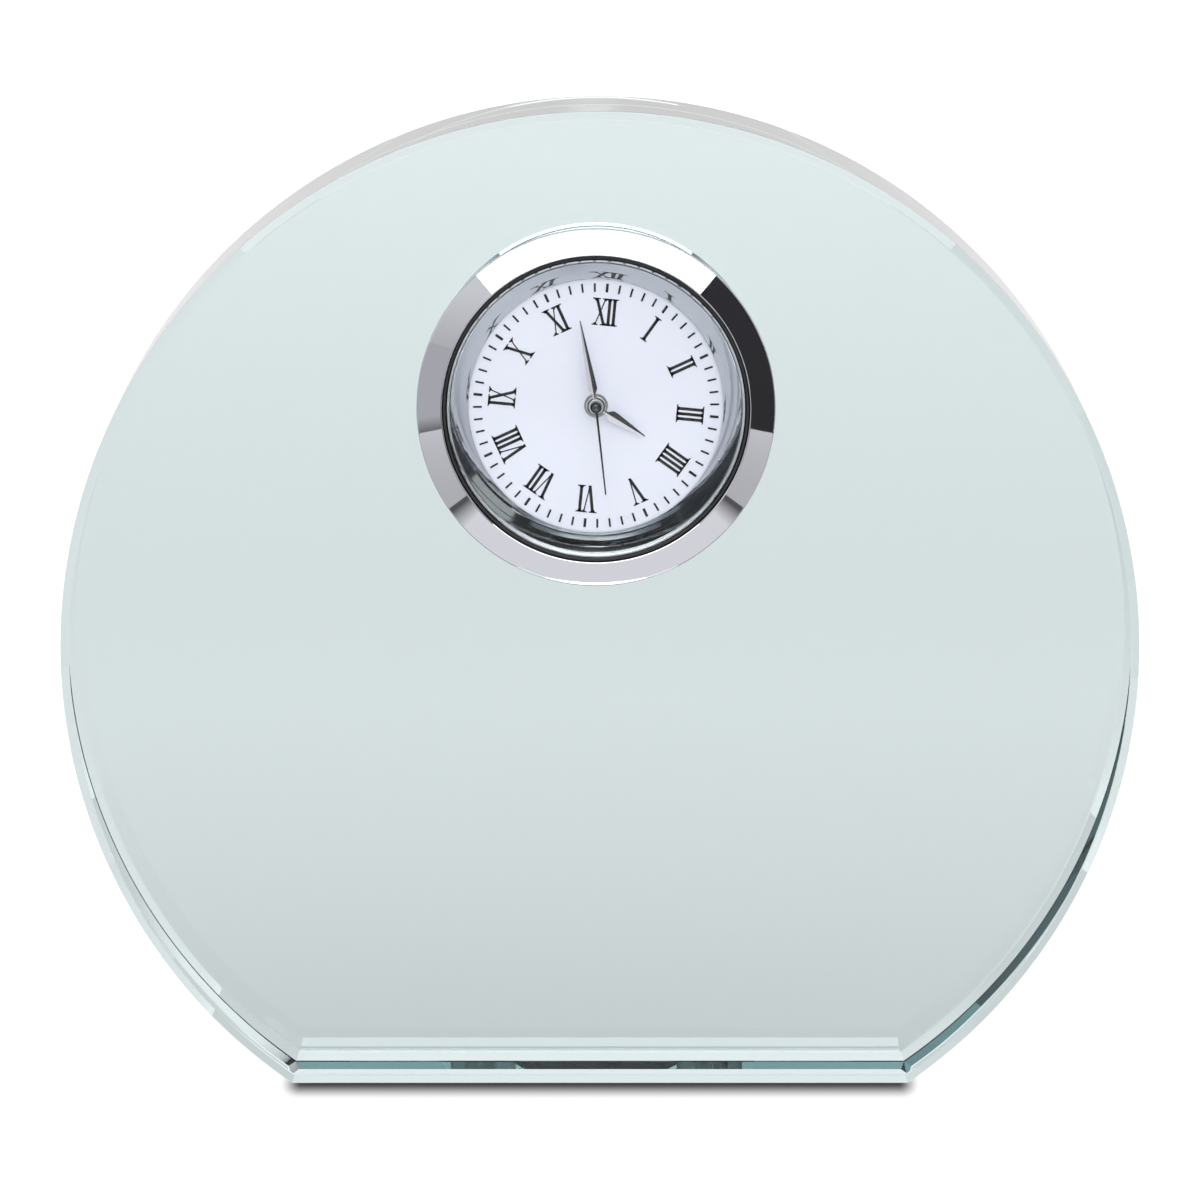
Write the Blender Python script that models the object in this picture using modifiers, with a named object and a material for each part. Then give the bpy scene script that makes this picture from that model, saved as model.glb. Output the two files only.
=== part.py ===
"""Crystal desk clock: a thick glass disc on a flat foot, with a quartz clock insert pressed into its bore.

Lengths are metres. The origin is the middle of the base face, +Z is up and the dial faces -Y.
The insert has a frame of its own, carried by one empty: x to the right and y up the dial, with the hands'
axis at its origin. A height in that frame is above the glass's front face, and negative inside the glass.
"""

import math

import bmesh
import bpy
from mathutils import Matrix

# Glass
GLASS_RADIUS = 0.055
GLASS_CENTRE_HEIGHT = 0.045
GLASS_THICKNESS = 0.020
GLASS_CHAMFER = 0.001
BORE_HEIGHT = 0.070
BORE_SHIFT = -0.0004
BORE_CHAMFER = 0.0003

# Clearances: between seated pieces, round turning pins, and under press-fitted bosses
SEAT_GAP = 0.0001
RUN_GAP = 0.00006
PRESS_GAP = 0.00002

# Turn of the insert in the bore, clockwise as seen from the front
INSERT_TURN = math.radians(5.4)

# Teeth of the clock train, the distances between its arbors and the way each pair lies
ROTOR_PINION_TEETH = 6
INTERMEDIATE_TEETH = 36
INTERMEDIATE_PINION_TEETH = 6
SECONDS_TEETH = 30
SECONDS_PINION_TEETH = 6
THIRD_TEETH = 45
THIRD_PINION_TEETH = 6
CENTRE_TEETH = 48
CANNON_TEETH = 10
MINUTE_TEETH = 30
MINUTE_PINION_TEETH = 8
HOUR_TEETH = 32
SETTING_TEETH = 8
THIRD_DISTANCE = 0.0054
ROTOR_DISTANCE = 0.00294
MINUTE_DISTANCE = 0.0036
THIRD_ANGLE = math.radians(60)
INTERMEDIATE_ANGLE = math.radians(175)
ROTOR_ANGLE = math.radians(250)
MINUTE_ANGLE = math.radians(-60)
SETTING_ANGLE = math.radians(-75)

# Teeth, as shares of the module and of the pitch
WHEEL_ADDENDUM = 0.8
PINION_ADDENDUM = 0.7
DEDENDUM = 1.15
TIP_HALF = 0.1
WHEEL_ROOT_HALF = 0.24
PINION_ROOT_HALF = 0.21

# Ribs of the grip ring and the knob, as shares of their pitch
RIB_TOP_HALF = 0.17
RIB_FOOT_HALF = 0.32

# Wheels and arbors
WHEEL_THICKNESS = 0.00025
PINION_LENGTH = 0.0005
WHEEL_GAP = 0.0002
HUB_PROUD = 0.00005
ARBOR_RADIUS = 0.00028
ROTOR_ARBOR_RADIUS = 0.0002
PIVOT_RADIUS = 0.00014
PIVOT_LENGTH = 0.0005
STUD_RADIUS = 0.00035
STEM_RADIUS = 0.0005
SPOKE_HOLES = 3
SPOKE_HOLE_SHARE = 0.24
SPOKE_CIRCLE_SHARE = 0.6
SPOKE_TURN = math.radians(20)

# Tubes of the centre stack, from the inside out
SECONDS_ARBOR_RADIUS = 0.00016
PIPE_WALL = 0.00012
HOUR_PIPE_WALL = 0.00017
HUB_WALL = 0.00026

# Motor, board and battery
MAGNET_RADIUS = 0.0011
MAGNET_THICKNESS = 0.0005
STATOR_GAP = 0.00015
STATOR_RIM = 0.0003
STATOR_THICKNESS = 0.0004
COIL_ANGLE = math.radians(240)
COIL_INSET = 0.00316
COIL_LENGTH = 0.007
BOBBIN_BORE = 0.00056
BOBBIN_WALL = 0.0001
FLANGE_RADIUS = 0.00105
FLANGE_THICKNESS = 0.0003
WINDING_RADIUS = 0.00095
CORE_WIDTH = 0.0009
CORE_THICKNESS = 0.0004
CORE_OVERHANG = 0.0014
YOKE_WIDTH = 0.0013
POLE_SLOT = 0.0004
BOARD_THICKNESS = 0.0003
BOARD_WIDTH = 0.00356
BOARD_FIRST_ANGLE = math.radians(152)
BOARD_LAST_ANGLE = math.radians(288)
BOARD_STEPS = 12
QUARTZ_RADIUS = 0.00075
QUARTZ_LENGTH = 0.0034
QUARTZ_ANGLE = math.radians(172)
QUARTZ_INSET = 0.00186
CHIP_RADIUS = 0.0011
CHIP_HEIGHT = 0.0005
CHIP_ANGLE = math.radians(200)
CHIP_RINGS = 4
BATTERY_RADIUS = 0.0034
BATTERY_THICKNESS = 0.0026
BATTERY_ANGLE = math.radians(-20)
BATTERY_CAP_STEP = 0.0003
CONTACT_THICKNESS = 0.00015
CONTACT_WIDTH = 0.0011
CONTACT_INSET = 0.00116
NEGATIVE_ANGLE = math.radians(-76)
POSITIVE_ANGLE = math.radians(-78)
POSITIVE_INSET = 0.00316

# Plate and bridge of the movement
PLATE_RIM = 0.0004
PLATE_THICKNESS = 0.001
TRAIN_SPACE = 0.0026
BRIDGE_THICKNESS = 0.0006
BRIDGE_MARGIN = 0.0009
PILLAR_RADIUS = 0.0006
OUTER_PILLAR_GAP = 0.00017
UPPER_PILLAR_ANGLE = math.radians(135)
UPPER_PILLAR_GAP = 0.00144
LOWER_PILLAR_ANGLE = math.radians(262)
LOWER_PILLAR_GAP = 0.00024
SCREW_RADIUS = 0.0003
SCREW_DEPTH = 0.0014
SCREW_HEAD_RADIUS = 0.00065
SCREW_HEAD_THICKNESS = 0.0003
SCREW_SLOT = 0.0002

# Case
RING_WALL = 0.0026
RING_LEDGE = 0.0002
LIP_COVER = 0.0003
LIP_STEP = 0.0003
LIP_THICKNESS = 0.0012
CASE_WALL = 0.0011
GRIP_WALL = 0.0005
GRIP_RIB = 0.00025
GRIP_RIBS = 24
GRIP_LENGTH = 0.0045
GRIP_SETBACK = 0.0012
COVER_ROOM = 0.0012
COVER_THICKNESS = 0.0007
SPIGOT_HEIGHT = 0.0009
SPIGOT_WALL = 0.0009
PRY_WIDTH = 0.003
PRY_DEPTH = 0.0006
KNOB_RADIUS = 0.0022
KNOB_PROUD = 0.0018
KNOB_INSET = 0.0009
KNOB_FLUTES = 16
KNOB_FLUTE_DEPTH = 0.00018
KNOB_WINDOW_GAP = 0.0004

# Dial, lens and bezel
DIAL_DEPTH = 0.0012
DIAL_THICKNESS = 0.0004
DIAL_HOLE_GAP = 0.00045
FOOT_RADIUS = 0.00035
FOOT_INSET = 0.00186
FOOT_ANGLES = [math.radians(30), math.radians(210)]
FOOT_GRIP = 0.0006
SKIRT_WALL = 0.0012
LENS_ROOM = 0.00235
LENS_THICKNESS = 0.001
LENS_CHAMFER = 0.0001
LENS_GAP = 0.00015
GASKET_WALL = 0.00045
REFLECTOR_LIP = 0.0003
REFLECTOR_WIDTH = 0.0017
REFLECTOR_LAND = 0.0003
BEZEL_OVERHANG = 0.001
BEZEL_WALL_HEIGHT = 0.0012
BEZEL_HEIGHT = 0.00265
BEZEL_ROUND = 0.00015
BEZEL_EDGE = 0.0001

# Hands: angles clockwise from twelve on the dial, and heights above it
MINUTE_HAND_ANGLE = math.radians(-15.9)
HOUR_HAND_ANGLE = math.radians(116.5)
SECOND_HAND_ANGLE = math.radians(168.3)
MINUTE_HAND_LENGTH = 0.00895
HOUR_HAND_LENGTH = 0.00585
SECOND_HAND_LENGTH = 0.009
MINUTE_HAND_WIDTH = 0.00096
HOUR_HAND_WIDTH = 0.00118
SECOND_HAND_WIDTH = 0.00023
SECOND_TIP_WIDTH = 0.00014
HAND_TIP_WIDTH = 0.00015
HAND_NECK_WIDTH = 0.00028
HAND_NECK_END = 0.0013
HAND_SHOULDER = 0.00192
HAND_EDGE = 0.00006
HAND_SLOPE = 0.3
HAND_SEAT = 0.00012
HOUR_HAND_LIFT = 0.0005
BOSS_HEIGHT = 0.0004
BOSS_SPACE = 0.0001
HOUR_BOSS_WALL = 0.0002
MINUTE_BOSS_WALL = 0.00024
SECOND_BOSS_RADIUS = 0.00055
SECOND_BOSS_HEIGHT = 0.0006
PIPE_SHORTFALL = 0.00002

# Colours that several pieces share
SILVER = (0.82, 0.82, 0.84)
STEEL = (0.7, 0.7, 0.71)
IRON = (0.45, 0.45, 0.47)
BRASS = (0.75, 0.58, 0.25)
IVORY = (0.82, 0.8, 0.74)
BLACK = (0.03, 0.03, 0.03)

# Facets of the round pieces
GLASS_STEPS = 96
WIDE_STEPS = 44
MIDDLE_STEPS = 24
PIPE_STEPS = 16
PIN_STEPS = 10
POLE_STEPS = 8
ROUNDING_STEP = math.radians(20)
MERGE = 0.000001
MILLIMETRE = 0.001
TOOL_REACH = 0.0005

# Radii of the train
centre_module = 2 * THIRD_DISTANCE / (THIRD_PINION_TEETH + CENTRE_TEETH)
third_module = 2 * THIRD_DISTANCE / (SECONDS_PINION_TEETH + THIRD_TEETH)
rotor_module = 2 * ROTOR_DISTANCE / (ROTOR_PINION_TEETH + INTERMEDIATE_TEETH)
cannon_module = 2 * MINUTE_DISTANCE / (CANNON_TEETH + MINUTE_TEETH)
hour_module = 2 * MINUTE_DISTANCE / (MINUTE_PINION_TEETH + HOUR_TEETH)
centre_tip = centre_module * (CENTRE_TEETH / 2 + WHEEL_ADDENDUM)
third_tip = third_module * (THIRD_TEETH / 2 + WHEEL_ADDENDUM)
intermediate_distance = centre_tip + ARBOR_RADIUS + WHEEL_GAP
seconds_module = 2 * intermediate_distance / (INTERMEDIATE_PINION_TEETH + SECONDS_TEETH)
setting_distance = cannon_module * (SETTING_TEETH + MINUTE_TEETH) / 2
battery_distance = centre_tip + BATTERY_RADIUS + WHEEL_GAP
outer_pillar_distance = THIRD_DISTANCE + third_tip + OUTER_PILLAR_GAP + PILLAR_RADIUS

# Radii from the movement out to the bezel
plate_radius = max(battery_distance + BATTERY_RADIUS, outer_pillar_distance + PILLAR_RADIUS) + PLATE_RIM
ring_bore = plate_radius + SEAT_GAP
ring_radius = ring_bore + RING_WALL
case_bore = ring_radius + SEAT_GAP
case_radius = case_bore + CASE_WALL
grip_bore = case_radius + SEAT_GAP
grip_radius = grip_bore + GRIP_WALL + GRIP_RIB
bore_radius = grip_radius + SEAT_GAP
bezel_radius = bore_radius + BEZEL_OVERHANG
skirt_bore = case_radius - SKIRT_WALL
dial_radius = skirt_bore - SEAT_GAP
throat_radius = dial_radius + SEAT_GAP + GASKET_WALL + SEAT_GAP
lip_bore = plate_radius - LIP_COVER
board_outer = plate_radius - RING_LEDGE - 2 * SEAT_GAP
board_inner = board_outer - BOARD_WIDTH
coil_distance = plate_radius - COIL_INSET
window_radius = KNOB_RADIUS + KNOB_WINDOW_GAP

# Radii of the centre stack
centre_pipe_bore = SECONDS_ARBOR_RADIUS + RUN_GAP
centre_pipe_radius = centre_pipe_bore + PIPE_WALL
cannon_pipe_bore = centre_pipe_radius + RUN_GAP
cannon_pipe_radius = cannon_pipe_bore + PIPE_WALL
hour_pipe_bore = cannon_pipe_radius + RUN_GAP
hour_pipe_radius = hour_pipe_bore + HOUR_PIPE_WALL
dial_hole = hour_pipe_radius + DIAL_HOLE_GAP

# Heights, from the lens back to the knob
dial_top = -DIAL_DEPTH
dial_back = dial_top - DIAL_THICKNESS
lens_back = dial_top + LENS_ROOM
ledge_height = lens_back - LENS_GAP
lip_front = dial_back - SEAT_GAP
skirt_end = lip_front - LIP_STEP
lip_back = lip_front - LIP_THICKNESS
plate_front = lip_back - SEAT_GAP
plate_back = plate_front - PLATE_THICKNESS
bridge_front = plate_back - TRAIN_SPACE
bridge_back = bridge_front - BRIDGE_THICKNESS
screw_back = bridge_back - SEAT_GAP - SCREW_HEAD_THICKNESS
battery_front = plate_back - 2 * SEAT_GAP - CONTACT_THICKNESS
battery_back = battery_front - BATTERY_THICKNESS
case_back = min(battery_back, screw_back) - COVER_ROOM
cover_front = case_back - SEAT_GAP
cover_back = cover_front - COVER_THICKNESS
spigot_front = cover_front + SPIGOT_HEIGHT
coil_height = plate_back - SEAT_GAP - FLANGE_RADIUS
stator_back = coil_height + CORE_THICKNESS / 2 + SEAT_GAP
stator_front = stator_back + STATOR_THICKNESS
board_front = coil_height - FLANGE_RADIUS - SEAT_GAP
board_back = board_front - BOARD_THICKNESS

# Heights of the wheels' front faces
centre_wheel_front = plate_back - WHEEL_GAP
third_wheel_front = centre_wheel_front - WHEEL_THICKNESS - WHEEL_GAP - HUB_PROUD - PINION_LENGTH / 2
seconds_wheel_front = third_wheel_front - WHEEL_THICKNESS - PINION_LENGTH
minute_wheel_front = plate_front + SEAT_GAP + HUB_PROUD + WHEEL_THICKNESS
hour_wheel_front = minute_wheel_front + SEAT_GAP + HUB_PROUD + WHEEL_GAP + WHEEL_THICKNESS

# Heights of the hands' bosses
hour_boss = dial_top + HOUR_HAND_LIFT
minute_boss = hour_boss + BOSS_HEIGHT + BOSS_SPACE
second_boss = minute_boss + BOSS_HEIGHT + BOSS_SPACE


def polar(angle, distance):
    """A place at a distance from the hands' axis."""
    return distance * math.cos(angle), distance * math.sin(angle)


def beside(place, angle, distance):
    """A place at a distance from another place."""
    return place[0] + distance * math.cos(angle), place[1] + distance * math.sin(angle)


# Places of the arbors on the plate
CENTRE = (0.0, 0.0)
third_place = polar(THIRD_ANGLE, THIRD_DISTANCE)
intermediate_place = polar(INTERMEDIATE_ANGLE, intermediate_distance)
rotor_place = beside(intermediate_place, ROTOR_ANGLE, ROTOR_DISTANCE)
minute_place = polar(MINUTE_ANGLE, MINUTE_DISTANCE)
setting_place = beside(minute_place, SETTING_ANGLE, setting_distance)
battery_place = polar(BATTERY_ANGLE, battery_distance)
pillar_places = [
    polar(THIRD_ANGLE, outer_pillar_distance),
    polar(UPPER_PILLAR_ANGLE, centre_tip + UPPER_PILLAR_GAP + PILLAR_RADIUS),
    polar(LOWER_PILLAR_ANGLE, centre_tip + LOWER_PILLAR_GAP + PILLAR_RADIUS),
]
foot_places = [polar(angle, plate_radius - FOOT_INSET) for angle in FOOT_ANGLES]

for leftover in list(bpy.data.objects):
    bpy.data.objects.remove(leftover, do_unlink=True)

model = bpy.data.collections.new("crystal_desk_clock")
tools = bpy.data.collections.new("crystal_desk_clock_tools")
bpy.context.scene.collection.children.link(model)
bpy.context.scene.collection.children.link(tools)

insert_axis = bpy.data.objects.new("insert_axis", None)
insert_axis.location = (BORE_SHIFT, -GLASS_THICKNESS / 2, BORE_HEIGHT)
insert_axis.rotation_euler = (math.radians(90), INSERT_TURN, 0)
model.objects.link(insert_axis)


def part(obj, colour, roughness, metallic=0.0, at=CENTRE, parent=insert_axis):
    """Puts a piece in the model with its own material, its origin on its own axis."""
    material = bpy.data.materials.new(obj.name)
    material.use_nodes = True
    shader = material.node_tree.nodes["Principled BSDF"]
    shader.inputs["Base Color"].default_value = (*colour, 1.0)
    shader.inputs["Roughness"].default_value = roughness
    shader.inputs["Metallic"].default_value = metallic
    obj.data.materials.append(material)
    obj.parent = parent
    obj.location = (at[0], at[1], 0.0)
    model.objects.link(obj)
    return obj


def work(target, tool, operation):
    """Joins a tool to a piece, or cuts it out, with the tool riding where the piece is."""
    tool.parent = target.parent
    tool.location = target.location
    tool.rotation_euler = target.rotation_euler
    tool.hide_render = True
    tool.display_type = "WIRE"
    tools.objects.link(tool)
    boolean = target.modifiers.new(tool.name, "BOOLEAN")
    boolean.operation = operation
    boolean.solver = "EXACT"
    boolean.object = tool


def turned(name, profile, steps, closed=True):
    """A turned shape: radius and height pairs, down the outer side and back up the inner one."""
    edges = [(i, i + 1) for i in range(len(profile) - 1)]
    if closed:
        edges.append((len(profile) - 1, 0))
    mesh = bpy.data.meshes.new(name)
    mesh.from_pydata([(radius, 0.0, height) for radius, height in profile], edges, [])
    obj = bpy.data.objects.new(name, mesh)
    screw = obj.modifiers.new("turn", "SCREW")
    screw.steps = steps
    screw.render_steps = steps
    screw.use_merge_vertices = True
    screw.merge_threshold = MERGE
    screw.use_smooth_shade = True
    return obj


def solid_turned(name, profile, steps):
    """A turned shape without a bore, whose profile starts and ends on the axis."""
    closed_profile = [(0.0, profile[0][1]), *profile, (0.0, profile[-1][1])]
    return turned(name, closed_profile, steps, closed=False)


def tube(name, bore, radius, low, high, steps):
    """A plain turned tube."""
    return turned(name, [(radius, high), (radius, low), (bore, low), (bore, high)], steps)


def circle(radius, steps, at=CENTRE):
    """Points round a circle."""
    return [beside(at, 2 * math.pi * i / steps, radius) for i in range(steps)]


def flat_mesh(name, loops, low, high):
    """A flat piece between two heights from its outline and holes.

    The outline is filled at a thousand times its size, because the fill joins points under 0.03 mm apart.
    """
    curve = bpy.data.curves.new(name, "CURVE")
    curve.dimensions = "2D"
    curve.fill_mode = "BOTH"
    curve.extrude = (high - low) / 2 / MILLIMETRE
    for loop in loops:
        spline = curve.splines.new("POLY")
        spline.points.add(len(loop) - 1)
        spline.use_cyclic_u = True
        for point, (x, y) in zip(spline.points, loop):
            point.co = (x / MILLIMETRE, y / MILLIMETRE, 0.0, 1.0)
    drawing = bpy.data.objects.new(name, curve)
    bpy.context.scene.collection.objects.link(drawing)
    depsgraph = bpy.context.evaluated_depsgraph_get()
    mesh = bpy.data.meshes.new_from_object(drawing.evaluated_get(depsgraph))
    bpy.data.objects.remove(drawing, do_unlink=True)
    bm = bmesh.new()
    bm.from_mesh(mesh)
    bmesh.ops.remove_doubles(bm, verts=bm.verts, dist=MERGE / MILLIMETRE)
    bmesh.ops.scale(bm, verts=bm.verts, vec=(MILLIMETRE, MILLIMETRE, MILLIMETRE))
    bmesh.ops.translate(bm, verts=bm.verts, vec=(0.0, 0.0, (low + high) / 2))
    bm.to_mesh(mesh)
    bm.free()
    return mesh


def flat(name, loops, low, high):
    """A flat piece as an object."""
    return bpy.data.objects.new(name, flat_mesh(name, loops, low, high))


def gathered(name, meshes):
    """One object from meshes that lie apart."""
    bm = bmesh.new()
    for mesh in meshes:
        bm.from_mesh(mesh)
    whole = bpy.data.meshes.new(name)
    bm.to_mesh(whole)
    bm.free()
    return bpy.data.objects.new(name, whole)


def pins(name, places, radius, low, high, steps=PIN_STEPS):
    """Cylinders between two heights, as one object."""
    bm = bmesh.new()
    for x, y in places:
        middle = Matrix.Translation((x, y, (low + high) / 2))
        bmesh.ops.create_cone(
            bm, cap_ends=True, segments=steps, radius1=radius, radius2=radius, depth=high - low, matrix=middle
        )
    mesh = bpy.data.meshes.new(name)
    bm.to_mesh(mesh)
    bm.free()
    return bpy.data.objects.new(name, mesh)


def toothed(teeth, module, turn, addendum, root_half):
    """Outline of a wheel or pinion with tapered teeth, one of them at the angle of turn."""
    pitch_radius = teeth * module / 2
    root = pitch_radius - DEDENDUM * module
    tip = pitch_radius + addendum * module
    corners = [(root, -root_half), (tip, -TIP_HALF), (tip, TIP_HALF), (root, root_half)]
    pitch = 2 * math.pi / teeth
    return [polar(turn + (i + share) * pitch, radius) for i in range(teeth) for radius, share in corners]


def wheel_outline(teeth, module, turn=0.0):
    """Outline of a wheel, which has long teeth."""
    return toothed(teeth, module, turn, WHEEL_ADDENDUM, WHEEL_ROOT_HALF)


def pinion_outline(teeth, module, turn=0.0):
    """Outline of a pinion, which has short teeth."""
    return toothed(teeth, module, turn, PINION_ADDENDUM, PINION_ROOT_HALF)


def meshing_turn(direction, driver_teeth, driver_turn, driven_teeth):
    """Turn that puts a gap of the driven wheel on the tooth that the driver holds towards it."""
    driver_pitch = 2 * math.pi / driver_teeth
    driven_pitch = 2 * math.pi / driven_teeth
    share = (direction - driver_turn) / driver_pitch
    return direction + math.pi - driven_pitch * (0.5 - share)


def spoke_holes(wheel):
    """Round openings that lighten a wheel, sized by its root circle."""
    root = min(math.hypot(x, y) for x, y in wheel)
    angles = [SPOKE_TURN + 2 * math.pi * i / SPOKE_HOLES for i in range(SPOKE_HOLES)]
    places = [polar(angle, root * SPOKE_CIRCLE_SHARE) for angle in angles]
    return [circle(root * SPOKE_HOLE_SHARE, PIN_STEPS, place) for place in places]


def ribbed(count, valley, crest):
    """Outline of a round piece with ribs along its side."""
    pitch = 2 * math.pi / count
    corners = [(valley, -RIB_FOOT_HALF), (crest, -RIB_TOP_HALF), (crest, RIB_TOP_HALF), (valley, RIB_FOOT_HALF)]
    return [polar((i + share) * pitch, radius) for i in range(count) for radius, share in corners]


def arbor(name, radius, top, bottom):
    """A pin between its two shoulders, with a thinner pivot past each."""
    profile = [
        (PIVOT_RADIUS, top + PIVOT_LENGTH),
        (PIVOT_RADIUS, top),
        (radius, top),
        (radius, bottom),
        (PIVOT_RADIUS, bottom),
        (PIVOT_RADIUS, bottom - PIVOT_LENGTH),
    ]
    return solid_turned(name, profile, PIN_STEPS)


def make_glass():
    """A disc with a flat foot and chamfered faces, bored through."""
    upright = Matrix.Translation((0.0, 0.0, GLASS_CENTRE_HEIGHT)) @ Matrix.Rotation(math.radians(90), 4, "X")
    bm = bmesh.new()
    bmesh.ops.create_cone(
        bm,
        cap_ends=True,
        segments=GLASS_STEPS,
        radius1=GLASS_RADIUS,
        radius2=GLASS_RADIUS,
        depth=GLASS_THICKNESS,
        matrix=upright,
    )
    everything = bm.verts[:] + bm.edges[:] + bm.faces[:]
    bmesh.ops.bisect_plane(bm, geom=everything, plane_co=(0, 0, 0), plane_no=(0, 0, 1), clear_inner=True)
    bmesh.ops.holes_fill(bm, edges=[edge for edge in bm.edges if edge.is_boundary])
    rims = [e for e in bm.edges if abs(e.verts[0].co.y - e.verts[1].co.y) < GLASS_THICKNESS / 2]
    bmesh.ops.bevel(bm, geom=rims, offset=GLASS_CHAMFER, segments=1, affect="EDGES")
    bmesh.ops.recalc_face_normals(bm, faces=bm.faces)
    mesh = bpy.data.meshes.new("glass_body")
    bm.to_mesh(mesh)
    bm.free()
    glass = part(bpy.data.objects.new("glass_body", mesh), (0.86, 0.93, 0.93), 0.0, parent=None)
    glass.active_material.node_tree.nodes["Principled BSDF"].inputs["Transmission Weight"].default_value = 1.0
    flare = bore_radius + BORE_CHAMFER + TOOL_REACH
    bore = solid_turned(
        "bore_tool",
        [
            (flare, TOOL_REACH),
            (bore_radius, -BORE_CHAMFER),
            (bore_radius, BORE_CHAMFER - GLASS_THICKNESS),
            (flare, -GLASS_THICKNESS - TOOL_REACH),
        ],
        WIDE_STEPS,
    )
    work(glass, bore, "DIFFERENCE")
    bore.parent = insert_axis


def make_front():
    """Bezel, lens, gasket and reflector ring."""
    profile = [
        (throat_radius + BEZEL_EDGE, BEZEL_HEIGHT),
        (bezel_radius - BEZEL_ROUND, BEZEL_WALL_HEIGHT + BEZEL_ROUND),
        (bezel_radius, BEZEL_WALL_HEIGHT),
        (bezel_radius, SEAT_GAP),
        (case_radius, SEAT_GAP),
        (case_radius, skirt_end),
        (skirt_bore, skirt_end),
        (skirt_bore, ledge_height),
        (throat_radius, ledge_height),
        (throat_radius, BEZEL_HEIGHT - BEZEL_EDGE),
    ]
    part(turned("bezel", profile, WIDE_STEPS), SILVER, 0.04, 1.0)

    lens_top = lens_back + LENS_THICKNESS
    profile = [
        (dial_radius - LENS_CHAMFER, lens_top),
        (dial_radius, lens_top - LENS_CHAMFER),
        (dial_radius, lens_back),
    ]
    lens = part(solid_turned("lens", profile, WIDE_STEPS), (0.97, 0.98, 0.98), 0.0)
    lens.active_material.node_tree.nodes["Principled BSDF"].inputs["Transmission Weight"].default_value = 1.0

    gasket_back = ledge_height + SEAT_GAP
    gasket = tube(
        "lens_gasket", throat_radius - SEAT_GAP - GASKET_WALL, throat_radius - SEAT_GAP,
        gasket_back, gasket_back + LENS_THICKNESS, WIDE_STEPS,
    )
    part(gasket, BLACK, 0.6)

    reflector_top = lens_back - SEAT_GAP
    reflector_back = dial_top + SEAT_GAP
    slope_top = dial_radius - REFLECTOR_LIP
    profile = [
        (dial_radius, reflector_top),
        (dial_radius, reflector_back),
        (slope_top - REFLECTOR_WIDTH, reflector_back),
        (slope_top - REFLECTOR_WIDTH, reflector_back + REFLECTOR_LAND),
        (slope_top, reflector_top),
    ]
    part(turned("reflector_ring", profile, WIDE_STEPS), SILVER, 0.06, 1.0)


def make_dial():
    """Dial with two feet that enter the main plate."""
    dial = tube("dial", dial_hole, dial_radius, dial_back, dial_top, WIDE_STEPS)
    part(dial, (0.86, 0.88, 0.92), 0.5)
    foot_end = plate_front - FOOT_GRIP
    feet = pins("dial_feet", foot_places, FOOT_RADIUS, foot_end, dial_top - DIAL_THICKNESS / 2)
    work(dial, feet, "UNION")


def make_case():
    """Cup, spacer ring, grip ring and snap-on back cover."""
    shoulder = skirt_end - SEAT_GAP
    profile = [
        (dial_radius, lip_front),
        (dial_radius, shoulder),
        (case_radius, shoulder),
        (case_radius, case_back),
        (case_bore, case_back),
        (case_bore, lip_back),
        (lip_bore, lip_back),
        (lip_bore, lip_front),
    ]
    part(turned("case_body", profile, WIDE_STEPS), BLACK, 0.45)

    ledge_front = plate_back - SEAT_GAP
    ring_back = spigot_front + SEAT_GAP
    profile = [
        (ring_radius, plate_front),
        (ring_radius, ring_back),
        (plate_radius - RING_LEDGE, ring_back),
        (plate_radius - RING_LEDGE, ledge_front),
        (ring_bore, ledge_front),
        (ring_bore, plate_front),
    ]
    part(turned("movement_ring", profile, WIDE_STEPS), IVORY, 0.5)

    ribs = ribbed(GRIP_RIBS, grip_radius - GRIP_RIB, grip_radius)
    grip_front = shoulder - GRIP_SETBACK
    grip = flat("grip_ring", [ribs, circle(grip_bore, WIDE_STEPS)], grip_front - GRIP_LENGTH, grip_front)
    part(grip, (0.85, 0.86, 0.86), 0.7)

    spigot_radius = case_bore - SEAT_GAP
    cover_radius = case_radius - SEAT_GAP
    profile = [
        (spigot_radius - SPIGOT_WALL, cover_front),
        (spigot_radius - SPIGOT_WALL, spigot_front),
        (spigot_radius, spigot_front),
        (spigot_radius, cover_front),
        (cover_radius, cover_front),
        (cover_radius, cover_back),
    ]
    cover = part(solid_turned("back_cover", profile, WIDE_STEPS), BLACK, 0.4)
    low = cover_back - TOOL_REACH
    window_loop = circle(window_radius, MIDDLE_STEPS, setting_place)
    window = flat_mesh("window", [window_loop], low, cover_front + TOOL_REACH)
    half = PRY_WIDTH / 2
    inner = cover_radius - PRY_DEPTH
    outer = cover_radius + TOOL_REACH
    notch = [(-half, inner), (half, inner), (half, outer), (-half, outer)]
    notch_mesh = flat_mesh("notch", [notch], low, (cover_front + cover_back) / 2)
    work(cover, gathered("cover_openings", [window, notch_mesh]), "DIFFERENCE")


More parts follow.
